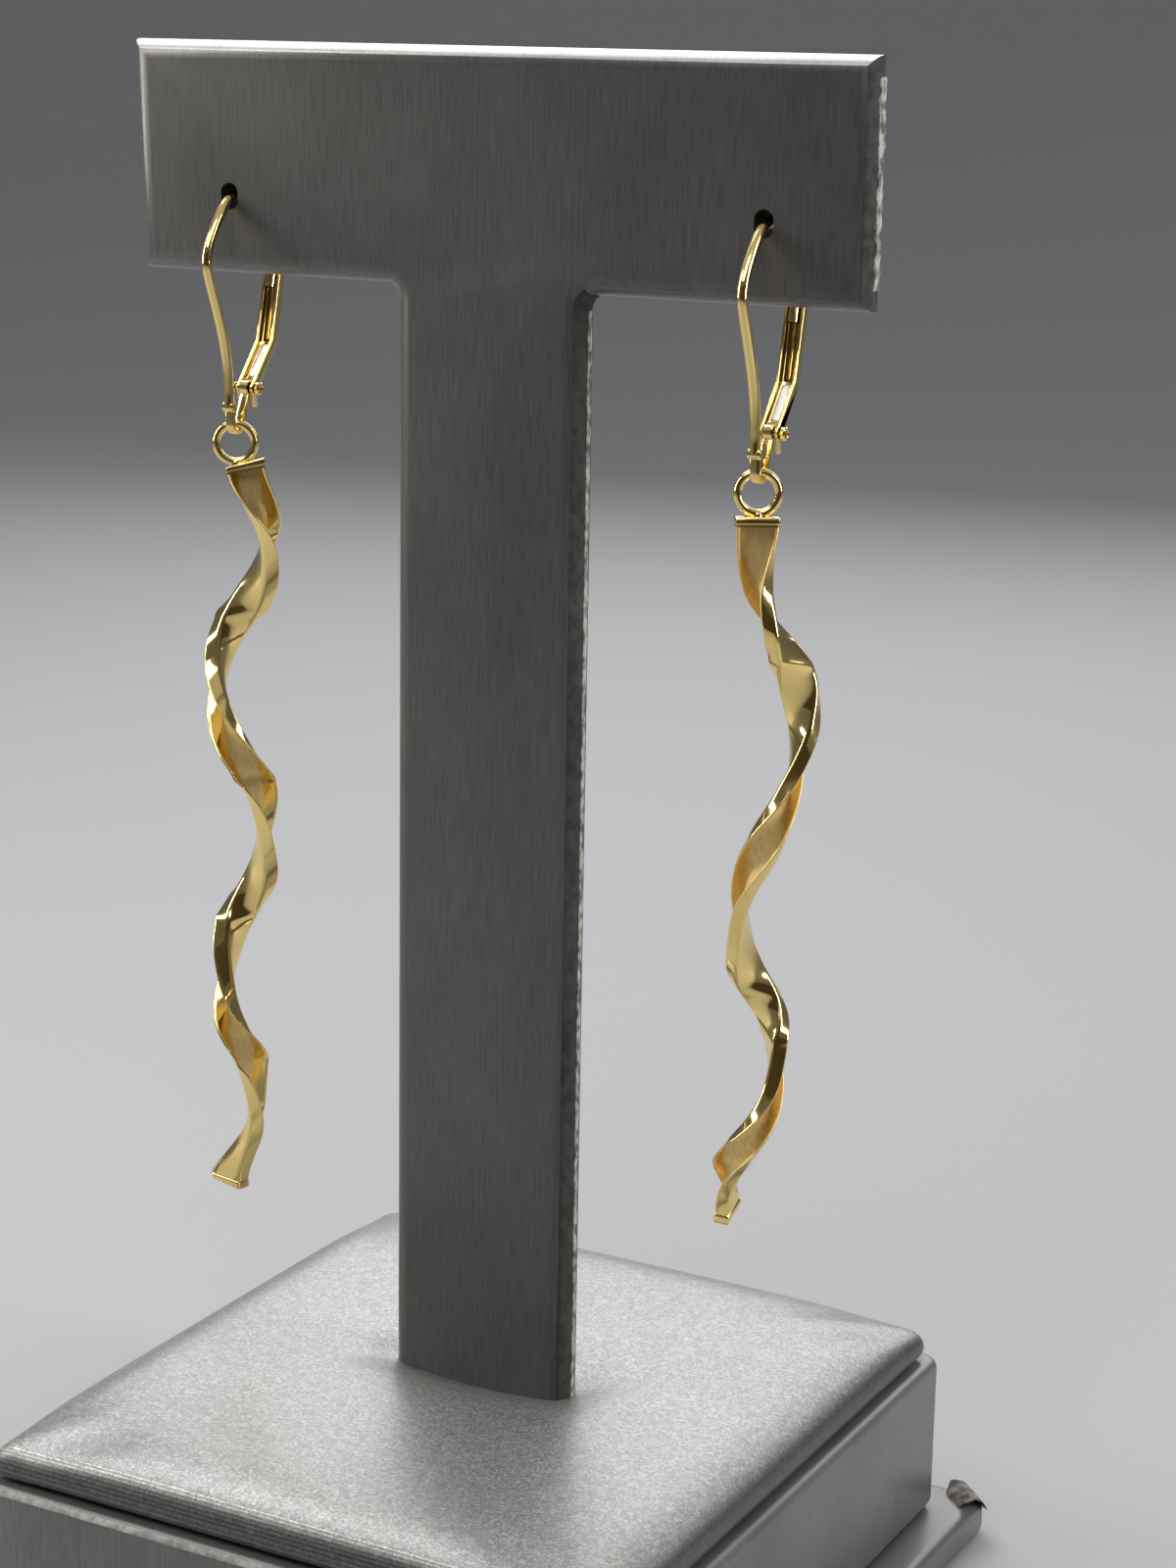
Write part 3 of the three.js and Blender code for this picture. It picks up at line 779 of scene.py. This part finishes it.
def make_plate():
    """The T-shaped board, with its rims rounded, its holes cut and each face's wrap chosen."""
    bm = bmesh.new()
    plate_outline(bm)
    pushed = bmesh.ops.extrude_face_region(bm, geom=bm.faces[:])
    verts = [g for g in pushed["geom"] if isinstance(g, bmesh.types.BMVert)]
    bmesh.ops.translate(bm, verts=verts, vec=(0, PLATE_HIGH.y - PLATE_LOW.y, 0))
    bmesh.ops.recalc_face_normals(bm, faces=bm.faces)
    rims = [e for e in bm.edges if abs(e.verts[0].co.y - e.verts[1].co.y) < NEAR]
    bevel_edges(bm, rims, PLATE_EDGE, 6)
    pivots = [drop_pivot(side) for side in SIDES]
    bm = cut_holes(bm, [hole_cutter(pivot) for pivot in pivots])
    for face in bm.faces:
        centre = face.calc_center_median()
        face.material_index = edge_index(face)
        # Faces inside the slots get near-black painted shade
        for pivot in pivots:
            near = Vector((centre.x - pivot.x, centre.z - pivot.z - HOLE_ABOVE_PIVOT))
            if near.length < HOLE_HEIGHT and abs(face.normal.y) < 0.5:
                face.material_index = HOLE_SHADE
    flare_bar(bm)
    materials = [WRAP_DARK, HOLE_PAINTED_SHADE, WRAP_EDGE, WRAP_TOP_HIGHLIGHT, WRAP_RIGHT_SHADE]
    finish_piece("t_plate_wrapped", bm, "stand", ["stand_t_plate"], materials, 40)


def make_seam(word, across, low, high, width, unevenness):
    """The wrap's ragged cut edge, down the middle of one right-hand side of the plate."""
    bm = bmesh.new()
    steps = round((high - low) / SEAM_STEP)
    bmesh.ops.create_grid(bm, x_segments=5, y_segments=steps, size=0.5)
    bmesh.ops.scale(bm, verts=bm.verts, vec=(width, high - low, 1.0))
    for axis in "XZ":
        turn = Matrix.Rotation(math.pi / 2, 3, axis)
        bmesh.ops.rotate(bm, verts=bm.verts, cent=(0, 0, 0), matrix=turn)
    middle = Vector((across, (PLATE_LOW.y + PLATE_HIGH.y) / 2, (low + high) / 2))
    bmesh.ops.translate(bm, verts=bm.verts, vec=middle)
    for vert in bm.verts:
        ragged = noise.noise(vert.co / SEAM_GRAIN) * unevenness
        vert.co.x += abs(ragged)
        vert.co.y += ragged
    bmesh.ops.solidify(bm, geom=bm.faces[:], thickness=SEAM_THICKNESS)
    name = f"wrap_seam_{word}"
    finish_piece(name, bm, "stand", ["stand_t_plate"], [WRAP_SEAM], 60)


def make_seams():
    """The seams of the bar's right end and of the stem's right side."""
    low = BAR_UNDER + PLATE_EDGE
    high = PLATE_HIGH.z - PLATE_EDGE
    make_seam("bar", PLATE_HIGH.x - BAR_TRIM, low, high, BAR_SEAM_WIDTH, BAR_RAGGED)
    high = BAR_UNDER - PLATE_FILLET
    make_seam("stem", STEM_HALF, PAD_LOW.z, high, STEM_SEAM_WIDTH, STEM_RAGGED)


def pad_start():
    """The cushion before it swells, a little shy of its size, at the cloth's scale."""
    shy = Vector((PAD_SHY, PAD_SHY, 0))
    bm = box_bmesh(PAD_LOW + shy, PAD_HIGH - shy - Vector((0, 0, PAD_SHY)))
    bevel_edges(bm, upright_edges(bm), PAD_CORNER, 8)
    top = PAD_HIGH.z - PAD_SHY
    bevel_edges(bm, level_edges(bm, top), PAD_ROLL, 8)
    bevel_edges(bm, level_edges(bm, PAD_LOW.z), PAD_TUCK, 4)
    bmesh.ops.scale(bm, verts=bm.verts, vec=(CLOTH_SCALE, CLOTH_SCALE, CLOTH_SCALE))
    bmesh.ops.recalc_face_normals(bm, faces=bm.faces)
    return bm


def stem_distance(place):
    """How far a point lies from the stem's foot, seen from above."""
    middle = (PLATE_LOW.y + PLATE_HIGH.y) / 2
    across = max(abs(place.x) - STEM_HALF, 0.0)
    deep = max(abs(place.y - middle) - (PLATE_HIGH.y - PLATE_LOW.y) / 2, 0.0)
    return math.hypot(across, deep)


def draw_in(mesh):
    """Sinks the top round the stem and lets the corners droop."""
    half_x = PAD_HIGH.x * CLOTH_SCALE
    half_y = PAD_HIGH.y * CLOTH_SCALE
    floor = PAD_LOW.z * CLOTH_SCALE
    thick = (PAD_HIGH.z - PAD_SHY) * CLOTH_SCALE - floor
    for vert in mesh.vertices:
        high = max((vert.co.z - floor) / thick, 0.0)
        near = max(1 - stem_distance(vert.co / CLOTH_SCALE) / DIMPLE_RUN, 0.0)
        corner = abs(vert.co.x / half_x * vert.co.y / half_y) ** DROOP_POWER
        middle = 1 - DIMPLE_ENDS * min(abs(vert.co.x) / (STEM_HALF * CLOTH_SCALE), 1.0) ** 2
        sink = DIMPLE_DEPTH * near**2 * middle + CORNER_DROOP * corner
        vert.co.z -= sink * CLOTH_SCALE * high


def applied_mesh(piece):
    """The mesh of a piece after its modifiers, as a new mesh."""
    depsgraph = bpy.context.evaluated_depsgraph_get()
    return bpy.data.meshes.new_from_object(piece.evaluated_get(depsgraph))


def pinned_points(mesh):
    """Points that the board, the block and the stem hold still."""
    low = (PAD_LOW.z + HELD_FOOT) * CLOTH_SCALE
    held = []
    for vert in mesh.vertices:
        if vert.co.z < low or stem_distance(vert.co / CLOTH_SCALE) < HELD_ROUND_STEM:
            held.append(vert.index)
    return held


def swell(piece):
    """Blows the cushion up as cloth and gives its new points."""
    group = piece.vertex_groups.new(name="held")
    group.add(pinned_points(piece.data), 1.0, "REPLACE")
    cloth = piece.modifiers.new("cloth", "CLOTH")
    cloth.settings.quality = CLOTH_QUALITY
    cloth.settings.use_pressure = True
    cloth.settings.uniform_pressure_force = CLOTH_PRESSURE
    cloth.settings.effector_weights.gravity = 0.0
    cloth.settings.vertex_group_mass = "held"
    cloth.point_cache.frame_start = 1
    cloth.point_cache.frame_end = CLOTH_FRAMES
    scene = bpy.context.scene
    for step in range(1, CLOTH_FRAMES + 1):
        scene.frame_set(step)
    swelled = applied_mesh(piece)
    scene.frame_set(1)
    return [vert.co.copy() for vert in swelled.vertices]


def make_pad():
    """A thin cushion, crowned on top and drawn in round the stem."""
    start = bpy.data.meshes.new("pad_start")
    bm = pad_start()
    bm.to_mesh(start)
    bm.free()
    piece = bpy.data.objects.new("pad_swelling", start)
    bpy.context.scene.collection.objects.link(piece)
    remesh = piece.modifiers.new("remesh", "REMESH")
    remesh.mode = "VOXEL"
    remesh.voxel_size = CLOTH_VOXEL
    fine = applied_mesh(piece)
    piece.modifiers.clear()
    piece.data = fine
    draw_in(fine)
    before = [vert.co.copy() for vert in fine.vertices]
    after = swell(piece)
    done = bmesh.new()
    done.from_mesh(fine)
    bpy.data.objects.remove(piece)
    for vert, old, new in zip(done.verts, before, after):
        moved = new - old
        limit = CLOTH_CAP * math.tanh(moved.length / CLOTH_CAP)
        vert.co = old + moved.normalized() * limit
    for _ in range(CLOTH_SMOOTHING):
        bmesh.ops.smooth_vert(done, verts=done.verts, factor=0.5,
                              use_axis_x=True, use_axis_y=True, use_axis_z=True)
    shrink = 1 / CLOTH_SCALE
    bmesh.ops.scale(done, verts=done.verts, vec=(shrink, shrink, shrink))
    cushion = finish_piece(
        "pad_cushion", done, "stand", ["stand_pad"], [WRAP_LIGHT], 180)
    rounder = cushion.modifiers.new("rounder", "SUBSURF")
    rounder.levels = 1
    rounder.render_levels = 1


# Swept and turned shapes
def swept_strip(outline, length, steps):
    """A closed outline swept straight up, with both ends filled."""
    bm = bmesh.new()
    ring = [bm.verts.new((x, y, 0.0)) for x, y in outline]
    edges = [bm.edges.new((a, b)) for a, b in zip(ring, ring[1:] + ring[:1])]
    bmesh.ops.spin(
        bm,
        geom=ring + edges,
        cent=(0, 0, 0),
        axis=(0, 0, 1),
        dvec=(0, 0, length / steps),
        angle=0.0,
        steps=steps,
        use_duplicate=False,
    )
    ends = [e for e in bm.edges if len(e.link_faces) == 1]
    bmesh.ops.holes_fill(bm, edges=ends, sides=len(outline))
    bmesh.ops.recalc_face_normals(bm, faces=bm.faces)
    return bm


def turned(profile, axis, centre, steps=32):
    """A profile of (radius, along) points spun round an axis through a centre."""
    bm = bmesh.new()
    turn = Vector((0, 0, 1)).rotation_difference(axis).to_matrix()
    verts = [bm.verts.new((radius, 0.0, along)) for radius, along in profile]
    edges = [bm.edges.new(pair) for pair in zip(verts, verts[1:])]
    bmesh.ops.spin(
        bm,
        geom=verts + edges,
        cent=(0, 0, 0),
        axis=(0, 0, 1),
        angle=2 * math.pi,
        steps=steps,
        use_merge=True,
        use_duplicate=False,
    )
    bmesh.ops.remove_doubles(bm, verts=bm.verts, dist=MERGE_GAP)
    bmesh.ops.rotate(bm, verts=bm.verts, cent=(0, 0, 0), matrix=turn)
    bmesh.ops.translate(bm, verts=bm.verts, vec=centre)
    return bm


def row_value(rows, column, share):
    """A smooth value of one column, by the same spline as the part's."""
    spot = min(max(share, 0.0), 1.0) * (len(rows) - 1)
    index = min(int(spot), len(rows) - 2)
    step = spot - index
    before = rows[max(index - 1, 0)][column]
    start = rows[index][column]
    end = rows[index + 1][column]
    after = rows[min(index + 2, len(rows) - 1)][column]
    in_slope = (end - before) / 2
    out_slope = (after - start) / 2
    bend = 2 * start - 2 * end + in_slope + out_slope
    sag = -3 * start + 3 * end - 2 * in_slope - out_slope
    return bend * step**3 + sag * step**2 + in_slope * step + start


def crease_share(side, up):
    """How close a height is to one of the ribbon's bends, as a share that peaks at 1."""
    return max(math.exp(-(((up - crease) / CREASE_HALF) ** 2)) for crease in side["creases"])


def end_tilt(distance, tilt):
    return max(0.0, 1 - distance / TILT_RUN) ** 2 * math.tan(tilt)


def wind(bm, side, foot):
    """Winds straight strips round the drop's axis, as the part does."""
    rows = WINDINGS[side["name"]]
    for vert in bm.verts:
        up = vert.co.z
        share = (up - CAP_HEIGHT) / (side["length"] - 2 * CAP_HEIGHT)
        turn = math.radians(row_value(rows, "turn", share))
        crease = crease_share(side, up)
        reach = RIBBON_REACH * row_value(rows, "reach", share) + vert.co.y - CREASE_DENT * crease
        lean = RIBBON_REACH * row_value(rows, "lean", share)
        flare = 1 + CREASE_FLARE * crease * max(vert.co.y, 0.0) / side["flange"]
        across = vert.co.x * row_value(rows, "width", share) * flare
        tilt = end_tilt(up, side["foot_tilt"]) + end_tilt(side["length"] - up, side["head_tilt"])
        vert.co = foot + Vector((
            lean + reach * math.cos(turn) + across * math.sin(turn),
            reach * math.sin(turn) - across * math.cos(turn),
            up + tilt * across,
        ))


def channel_outline(side):
    floor = side["floor"] / 2
    lips = side["lips"] / 2
    flange = side["flange"]
    return (
        (-floor, -RIBBON_WALL),
        (floor, -RIBBON_WALL),
        (lips, flange),
        (lips - RIBBON_LIP, flange),
        (floor - RIBBON_WALL, 0.0),
        (RIBBON_WALL - floor, 0.0),
        (RIBBON_LIP - lips, flange),
        (-lips, flange),
    )


def cap_outline(side):
    floor = side["floor"] / 2 + CAP_MARGIN
    lips = side["lips"] / 2 + CAP_MARGIN
    low = -RIBBON_WALL - CAP_MARGIN
    high = side["flange"] + CAP_MARGIN
    return ((-floor, low), (floor, low), (lips, high), (-lips, high))


def drop_foot(side):
    """The lowest point of the drop's axis."""
    ring_bottom = -2 * RING_RADIUS - RING_WIRE
    up = ring_bottom + CAP_SINK + side["lift"] - side["length"]
    return drop_pivot(side) + Vector((0, 0, up))


def make_ribbon(side):
    """The channel strip, satin inside, with its lips and folds rounded before it is wound."""
    inset = CAP_HEIGHT / 2
    bm = swept_strip(channel_outline(side), side["length"] - 2 * inset, RIBBON_STEPS)
    for face in bm.faces:
        centre = face.calc_center_median()
        inside = centre.y > -SLACK and abs(centre.x) < side["floor"] / 2 - 0.5 * RIBBON_WALL
        if abs(face.normal.z) < 0.5 and inside:
            face.material_index = 1
    lips = [e for e in upright_edges(bm) if e.verts[0].co.y > side["flange"] - SLACK]
    bevel_edges(bm, lips, LIP_ROUND, 4)
    folds = [e for e in upright_edges(bm) if e.verts[0].co.y < SLACK - RIBBON_WALL]
    bevel_edges(bm, folds, RIBBON_FOLD, 4)
    bmesh.ops.translate(bm, verts=bm.verts, vec=(0, 0, inset))
    wind(bm, side, drop_foot(side))
    name = side["name"]
    body = f"{name}_drop"
    materials = [GOLD_POLISHED, GOLD_SATIN]
    finish_piece(f"ribbon_{name}", bm, body, [f"drop_{name}"], materials, 40)


def cap_layer(side, word, at, low, high, shrink, material):
    """One layer of an end cap, from a low to a high level above the cap's own foot."""
    bm = swept_strip(cap_outline(side), high - low, 4)
    bmesh.ops.scale(bm, verts=bm.verts, vec=(shrink, shrink, 1.0))
    bevel_edges(bm, upright_edges(bm), CAP_CORNER, 3)
    rims = level_edges(bm, 0.0) + level_edges(bm, high - low)
    bevel_edges(bm, rims, min(CAP_ROUND, (high - low) * THIN_ROUND), 3)
    bmesh.ops.translate(bm, verts=bm.verts, vec=(0, 0, at + low))
    wind(bm, side, drop_foot(side))
    finish_metal(side, f"ribbon_{word}", bm, "drop", "drop", material, 45)


def make_caps(side):
    """Each end has a bright plate, with a thin dark band of painted shade under the head's."""
    head = side["length"] - CAP_HEIGHT
    cap_layer(side, "foot_cap", 0.0, 0.0, FOOT_HEIGHT, 1.0, GOLD_POLISHED)
    cap_layer(side, "head_cap", head, 0.0, CAP_HEIGHT, 1.0, GOLD_POLISHED)
    # Painted shade in the gap under the head's plate
    cap_layer(
        side, "head_painted_shade", head, -HEAD_SHADE, HEAD_SHADE_LAP, HEAD_SHADE_SHRINK, GOLD_SHADED)


def make_ring(side):
    bm = bmesh.new()
    bmesh.ops.create_circle(bm, segments=20, radius=RING_WIRE)
    bmesh.ops.translate(bm, verts=bm.verts, vec=(RING_RADIUS, 0, 0))
    bmesh.ops.spin(
        bm,
        geom=bm.verts[:] + bm.edges[:],
        cent=(0, 0, 0),
        axis=(0, 1, 0),
        angle=2 * math.pi,
        steps=72,
        use_merge=True,
        use_duplicate=False,
    )
    turn = Matrix.Rotation(RING_TURN, 3, "Z")
    bmesh.ops.rotate(bm, verts=bm.verts, cent=(0, 0, 0), matrix=turn)
    middle = drop_pivot(side) - Vector((0, 0, RING_RADIUS))
    bmesh.ops.translate(bm, verts=bm.verts, vec=middle)
    finish_metal(side, "ring", bm, "drop", "drop", GOLD_POLISHED)


def make_solder(side):
    """The bead that holds the ring to the head cap."""
    bm = bmesh.new()
    bmesh.ops.create_icosphere(bm, subdivisions=4, radius=BEAD_RADIUS)
    bottom = -2 * RING_RADIUS - RING_WIRE + CAP_SINK
    bmesh.ops.translate(bm, verts=bm.verts, vec=drop_pivot(side) + Vector((0, 0, bottom)))
    finish_metal(side, "solder", bm, "drop", "drop", GOLD_POLISHED)


# Ear wire, strap and hinge
def arch_points(side):
    """The ear wire's middle line from its tip over the arch to the collar."""
    pivot = drop_pivot(side)
    points = [(ARCH_TIP_BACK, ARCH_TIP), (ARCH_BACK, ARCH_BACK_TOP)]
    for row in ARCH_ROWS:
        back = ARCH_FRONT + (ARCH_BACK - ARCH_FRONT) * row["across"]
        up = ARCH_CROWN * (1 - row["down"])
        points.append((back, up))
    points.append((-LOOP_MIDDLE, COLLAR_UP))
    rows = [{"back": back, "up": up} for back, up in points]
    line = []
    for index in range(WIRE_STEPS + 1):
        share = index / WIRE_STEPS
        back = row_value(rows, "back", share)
        line.append(pivot + Vector((0, back, row_value(rows, "up", share))))
    return line


def make_wire(side):
    curve = bpy.data.curves.new("wire_line", "CURVE")
    curve.dimensions = "3D"
    curve.bevel_depth = WIRE_RADIUS
    curve.bevel_resolution = 6
    curve.use_fill_caps = True
    points = arch_points(side)
    spline = curve.splines.new("POLY")
    spline.points.add(len(points) - 1)
    for point, place in zip(spline.points, points):
        point.co = (*place, 1.0)
    line = bpy.data.objects.new("wire_line", curve)
    bpy.context.scene.collection.objects.link(line)
    bpy.context.view_layer.update()
    depsgraph = bpy.context.evaluated_depsgraph_get()
    bm = bmesh.new()
    bm.from_mesh(line.evaluated_get(depsgraph).to_mesh())
    bpy.data.objects.remove(line)
    finish_metal(side, "ear_wire", bm, "stand", "ear_hook", GOLD_POLISHED)


def make_strap(side):
    """The flat strap bent round into the loop, ending in the hinge's boss."""
    pin = lever_pin(side) - drop_pivot(side)
    path = [Vector((0, -LOOP_MIDDLE, COLLAR_UP + STRAP_LAP))]
    for index in range(LOOP_BENDS + 1):
        angle = math.pi + math.pi * index / LOOP_BENDS
        path.append(LOOP_MIDDLE * Vector((0, math.cos(angle), math.sin(angle))))
    path.append(Vector((0, pin.y, pin.z - STRAP_TO_BOSS)))
    bm = bmesh.new()
    half = Vector((LOOP_WIDTH / 2, 0, 0))
    first = [bm.verts.new(path[0] - half), bm.verts.new(path[0] + half)]
    edge = bm.edges.new(first)
    for start, end in zip(path, path[1:]):
        grown = bmesh.ops.extrude_edge_only(bm, edges=[edge])["geom"]
        verts = [g for g in grown if isinstance(g, bmesh.types.BMVert)]
        edge = next(g for g in grown if isinstance(g, bmesh.types.BMEdge))
        bmesh.ops.translate(bm, verts=verts, vec=end - start)
    bmesh.ops.recalc_face_normals(bm, faces=bm.faces)
    bmesh.ops.solidify(bm, geom=bm.faces[:], thickness=LOOP_THICKNESS)
    bmesh.ops.recalc_face_normals(bm, faces=bm.faces)
    bevel_edges(bm, sharp_edges(bm, 50), STRAP_ROUND, 2)
    bmesh.ops.translate(bm, verts=bm.verts, vec=drop_pivot(side))
    finish_metal(side, "loop_strap", bm, "stand", "ear_hook", GOLD_POLISHED)


def make_boss(side):
    half = LOOP_WIDTH / 2
    bore = PIN_RADIUS + PIN_PLAY
    profile = (
        (bore, -half),
        (BOSS_RADIUS - BOSS_ROUND, -half),
        (BOSS_RADIUS, BOSS_ROUND - half),
        (BOSS_RADIUS, half - BOSS_ROUND),
        (BOSS_RADIUS - BOSS_ROUND, half),
        (bore, half),
        (bore, -half),
    )
    bm = turned(profile, Vector((1, 0, 0)), lever_pin(side))
    finish_metal(side, "hinge_boss", bm, "stand", "ear_hook", GOLD_POLISHED)


def make_collar(side):
    profile = (
        (0.0, -COLLAR_HALF),
        (COLLAR_RADIUS - COLLAR_ROUND, -COLLAR_HALF),
        (COLLAR_RADIUS, COLLAR_ROUND - COLLAR_HALF),
        (COLLAR_RADIUS, COLLAR_HALF - COLLAR_ROUND),
        (COLLAR_RADIUS - COLLAR_ROUND, COLLAR_HALF),
        (0.0, COLLAR_HALF),
    )
    centre = drop_pivot(side) + Vector((0, -LOOP_MIDDLE, COLLAR_UP))
    bm = turned(profile, Vector((1, 0, 0)), centre)
    finish_metal(side, "collar", bm, "stand", "ear_hook", GOLD_POLISHED)


def make_rivet(side):
    """The hollow rivet, with its rolled head on the right and a small tail on the left."""
    pin = lever_pin(side)
    low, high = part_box(f"hinge_pin_{side['name']}")
    tail = low.x - pin.x
    end = high.x - pin.x
    profile = (
        (0.0, tail),
        (TAIL_RADIUS - TAIL_ROUND, tail),
        (TAIL_RADIUS, tail + TAIL_ROUND),
        (TAIL_RADIUS, tail + TAIL_LENGTH),
        (PIN_RADIUS, tail + TAIL_LENGTH),
        (PIN_RADIUS, end - HEAD_LENGTH),
        (HEAD_RADIUS - HEAD_UNDER_ROUND, end - HEAD_LENGTH),
        (HEAD_RADIUS, end - HEAD_LENGTH + HEAD_UNDER_ROUND),
        (HEAD_RADIUS, end - HEAD_ROUND),
        (HEAD_RADIUS - HEAD_ROUND, end),
        (RECESS_RADIUS + RECESS_ROUND, end),
        (RECESS_RADIUS, end - RECESS_ROUND),
        (RECESS_RADIUS, end - RECESS_DEPTH),
        (0.0, end - RECESS_DEPTH),
    )
    bm = turned(profile, Vector((1, 0, 0)), pin)
    finish_metal(side, "rivet", bm, "stand", "hinge_pin", GOLD_POLISHED)


def make_lever(side):
    """A copy of the lever's node, with its loose triangles merged and its edges rounded."""
    bm = bmesh.new()
    bm.from_mesh(frame["nodes"][f"lever_{side['name']}"].data)
    bmesh.ops.remove_doubles(bm, verts=bm.verts, dist=LEVER_MERGE)
    bmesh.ops.dissolve_limit(
        bm,
        angle_limit=math.radians(2),
        verts=bm.verts,
        edges=bm.edges,
        use_dissolve_boundaries=False,
    )
    bevel_edges(bm, sharp_edges(bm, 40), LEVER_ROUND, 3)
    finish_metal(side, "lever_channel", bm, "lever", "lever", GOLD_POLISHED, 30)


def laid_strip(side, word, start, end, span, size, material):
    """A rounded strip on the floor of one of the lever's runs, given back and up from the pin."""
    width, height = size
    length = span[1] - span[0]
    low = Vector((-width / 2, -height / 2, span[0]))
    bm = box_bmesh(low, low + Vector((width, height, length)))
    sides = [e for e in bm.edges if min(v.co.y for v in e.verts) < 0]
    bevel_edges(bm, sides, height * THIN_ROUND, 4)
    tilt = math.atan2(end[0] - start[0], end[1] - start[1])
    bmesh.ops.translate(bm, verts=bm.verts, vec=(0, LEVER_FLOOR, 0))
    turn = Matrix.Rotation(-tilt, 3, "X")
    bmesh.ops.rotate(bm, verts=bm.verts, cent=(0, 0, 0), matrix=turn)
    foot = lever_pin(side) + Vector((0, *start))
    bmesh.ops.translate(bm, verts=bm.verts, vec=foot)
    finish_metal(side, f"lever_{word}", bm, "lever", "lever", material)


def make_lever_shade_rib_and_spring(side):
    """A fine rib on a dark sheet of painted shade over the channel's floor in the upper run, and
    the bright spring in the lower.
    """
    size = (SHADE_SHEET_WIDTH, SHADE_SHEET_HEIGHT)
    # Painted shade: a dark sheet over the channel's floor
    laid_strip(side, "floor", LEVER_BEND, LEVER_TOP, SHADE_SHEET_SPAN, size, GOLD_SHADED)
    size = (RIB_WIDTH, RIB_HEIGHT)
    laid_strip(side, "rib", LEVER_BEND, LEVER_TOP, RIB_SPAN, size, GOLD_POLISHED)
    size = (SPRING_WIDTH, SPRING_HEIGHT)
    laid_strip(side, "spring", (0.0, 0.0), LEVER_BEND, SPRING_SPAN, size, STEEL_SPRING)


# Room
def stage_piece(name, bm, material):
    """Something of the room, which is no part of the object."""
    mesh = bpy.data.meshes.new(name)
    bm.to_mesh(mesh)
    bm.free()
    mesh.materials.append(material)
    piece = bpy.data.objects.new(name, mesh)
    bpy.context.scene.collection.objects.link(piece)
    return piece


def make_floor():
    """A pale floor that sweeps up all round into a low wall, so that no horizon shows."""
    profile = [(0.0, 0.0), (SWEEP_FLAT, 0.0)]
    rise = SWEEP_WALL - SWEEP_FLAT
    for step in range(1, SWEEP_STEPS + 1):
        angle = math.pi / 2 * step / SWEEP_STEPS
        profile.append((SWEEP_FLAT + rise * math.sin(angle), rise * (1 - math.cos(angle))))
    profile.append((SWEEP_WALL, SWEEP_TOP))
    level = Vector((0, 0, cad_bounds[0][2] - FLOOR_GAP))
    bm = turned(profile, Vector((0, 0, 1)), level, 96)
    mark_smooth(bm, 60)
    stage_piece("floor", bm, new_material("floor_pale", FLOOR_TONE, 0.85))


def make_curtain():
    """A dark curtain round the camera, which only reflections see."""
    bm = bmesh.new()
    bmesh.ops.create_grid(bm, x_segments=24, y_segments=1, size=0.5)
    for vert in bm.verts:
        angle = CURTAIN_MIDDLE + 2 * CURTAIN_HALF * vert.co.x
        height = CURTAIN_TOP * (vert.co.y + 0.5)
        vert.co = (CURTAIN_REACH * math.cos(angle), CURTAIN_REACH * math.sin(angle), height)
    curtain = stage_piece("dark_curtain", bm, new_material("curtain_dark", CURTAIN_TONE, 0.9))
    curtain.visible_camera = False


def add_light(name, place, size, power, colour=(1.0, 1.0, 1.0)):
    """A soft box that faces the middle of the stand and isn't seen itself."""
    data = bpy.data.lights.new(name, "AREA")
    data.shape = "RECTANGLE"
    data.size = size[0]
    data.size_y = size[1]
    data.energy = power
    data.color = colour
    light = bpy.data.objects.new(name, data)
    light.location = place
    light.rotation_euler = (LIGHT_AIM - Vector(place)).to_track_quat("-Z", "Y").to_euler()
    light.visible_camera = False
    bpy.context.scene.collection.objects.link(light)


def make_world():
    """Even light from all round, and colours shown as they are."""
    world = bpy.data.worlds.new("soft_room")
    world.use_nodes = True
    background = world.node_tree.nodes["Background"]
    background.inputs["Color"].default_value = (*ROOM_TONE, 1.0)
    background.inputs["Strength"].default_value = ROOM_STRENGTH
    bpy.context.scene.world = world
    bpy.context.scene.view_settings.view_transform = "Standard"


def make_camera():
    data = bpy.data.cameras.new("photo_camera")
    data.lens = CAMERA_LENS
    data.sensor_width = 36.0
    data.clip_start = 0.001
    data.clip_end = 10.0
    camera = bpy.data.objects.new("photo_camera", data)
    yaw = Matrix.Rotation(CAMERA_YAW, 4, "Z")
    pitch = Matrix.Rotation(math.pi / 2 + CAMERA_PITCH, 4, "X")
    roll = Matrix.Rotation(CAMERA_ROLL, 4, "Z")
    camera.matrix_world = Matrix.Translation(CAMERA_PLACE) @ yaw @ pitch @ roll
    bpy.context.scene.collection.objects.link(camera)
    bpy.context.scene.camera = camera


make_plinth()
make_torn_wrap()
make_block()
make_pad()
make_plate()
make_seams()
for one_side in SIDES:
    make_wire(one_side)
    make_strap(one_side)
    make_boss(one_side)
    make_collar(one_side)
    make_rivet(one_side)
    make_lever(one_side)
    make_lever_shade_rib_and_spring(one_side)
    make_ring(one_side)
    make_solder(one_side)
    make_ribbon(one_side)
    make_caps(one_side)
make_floor()
make_curtain()
make_world()
for one_light in LIGHTS:
    add_light(**one_light)
make_camera()
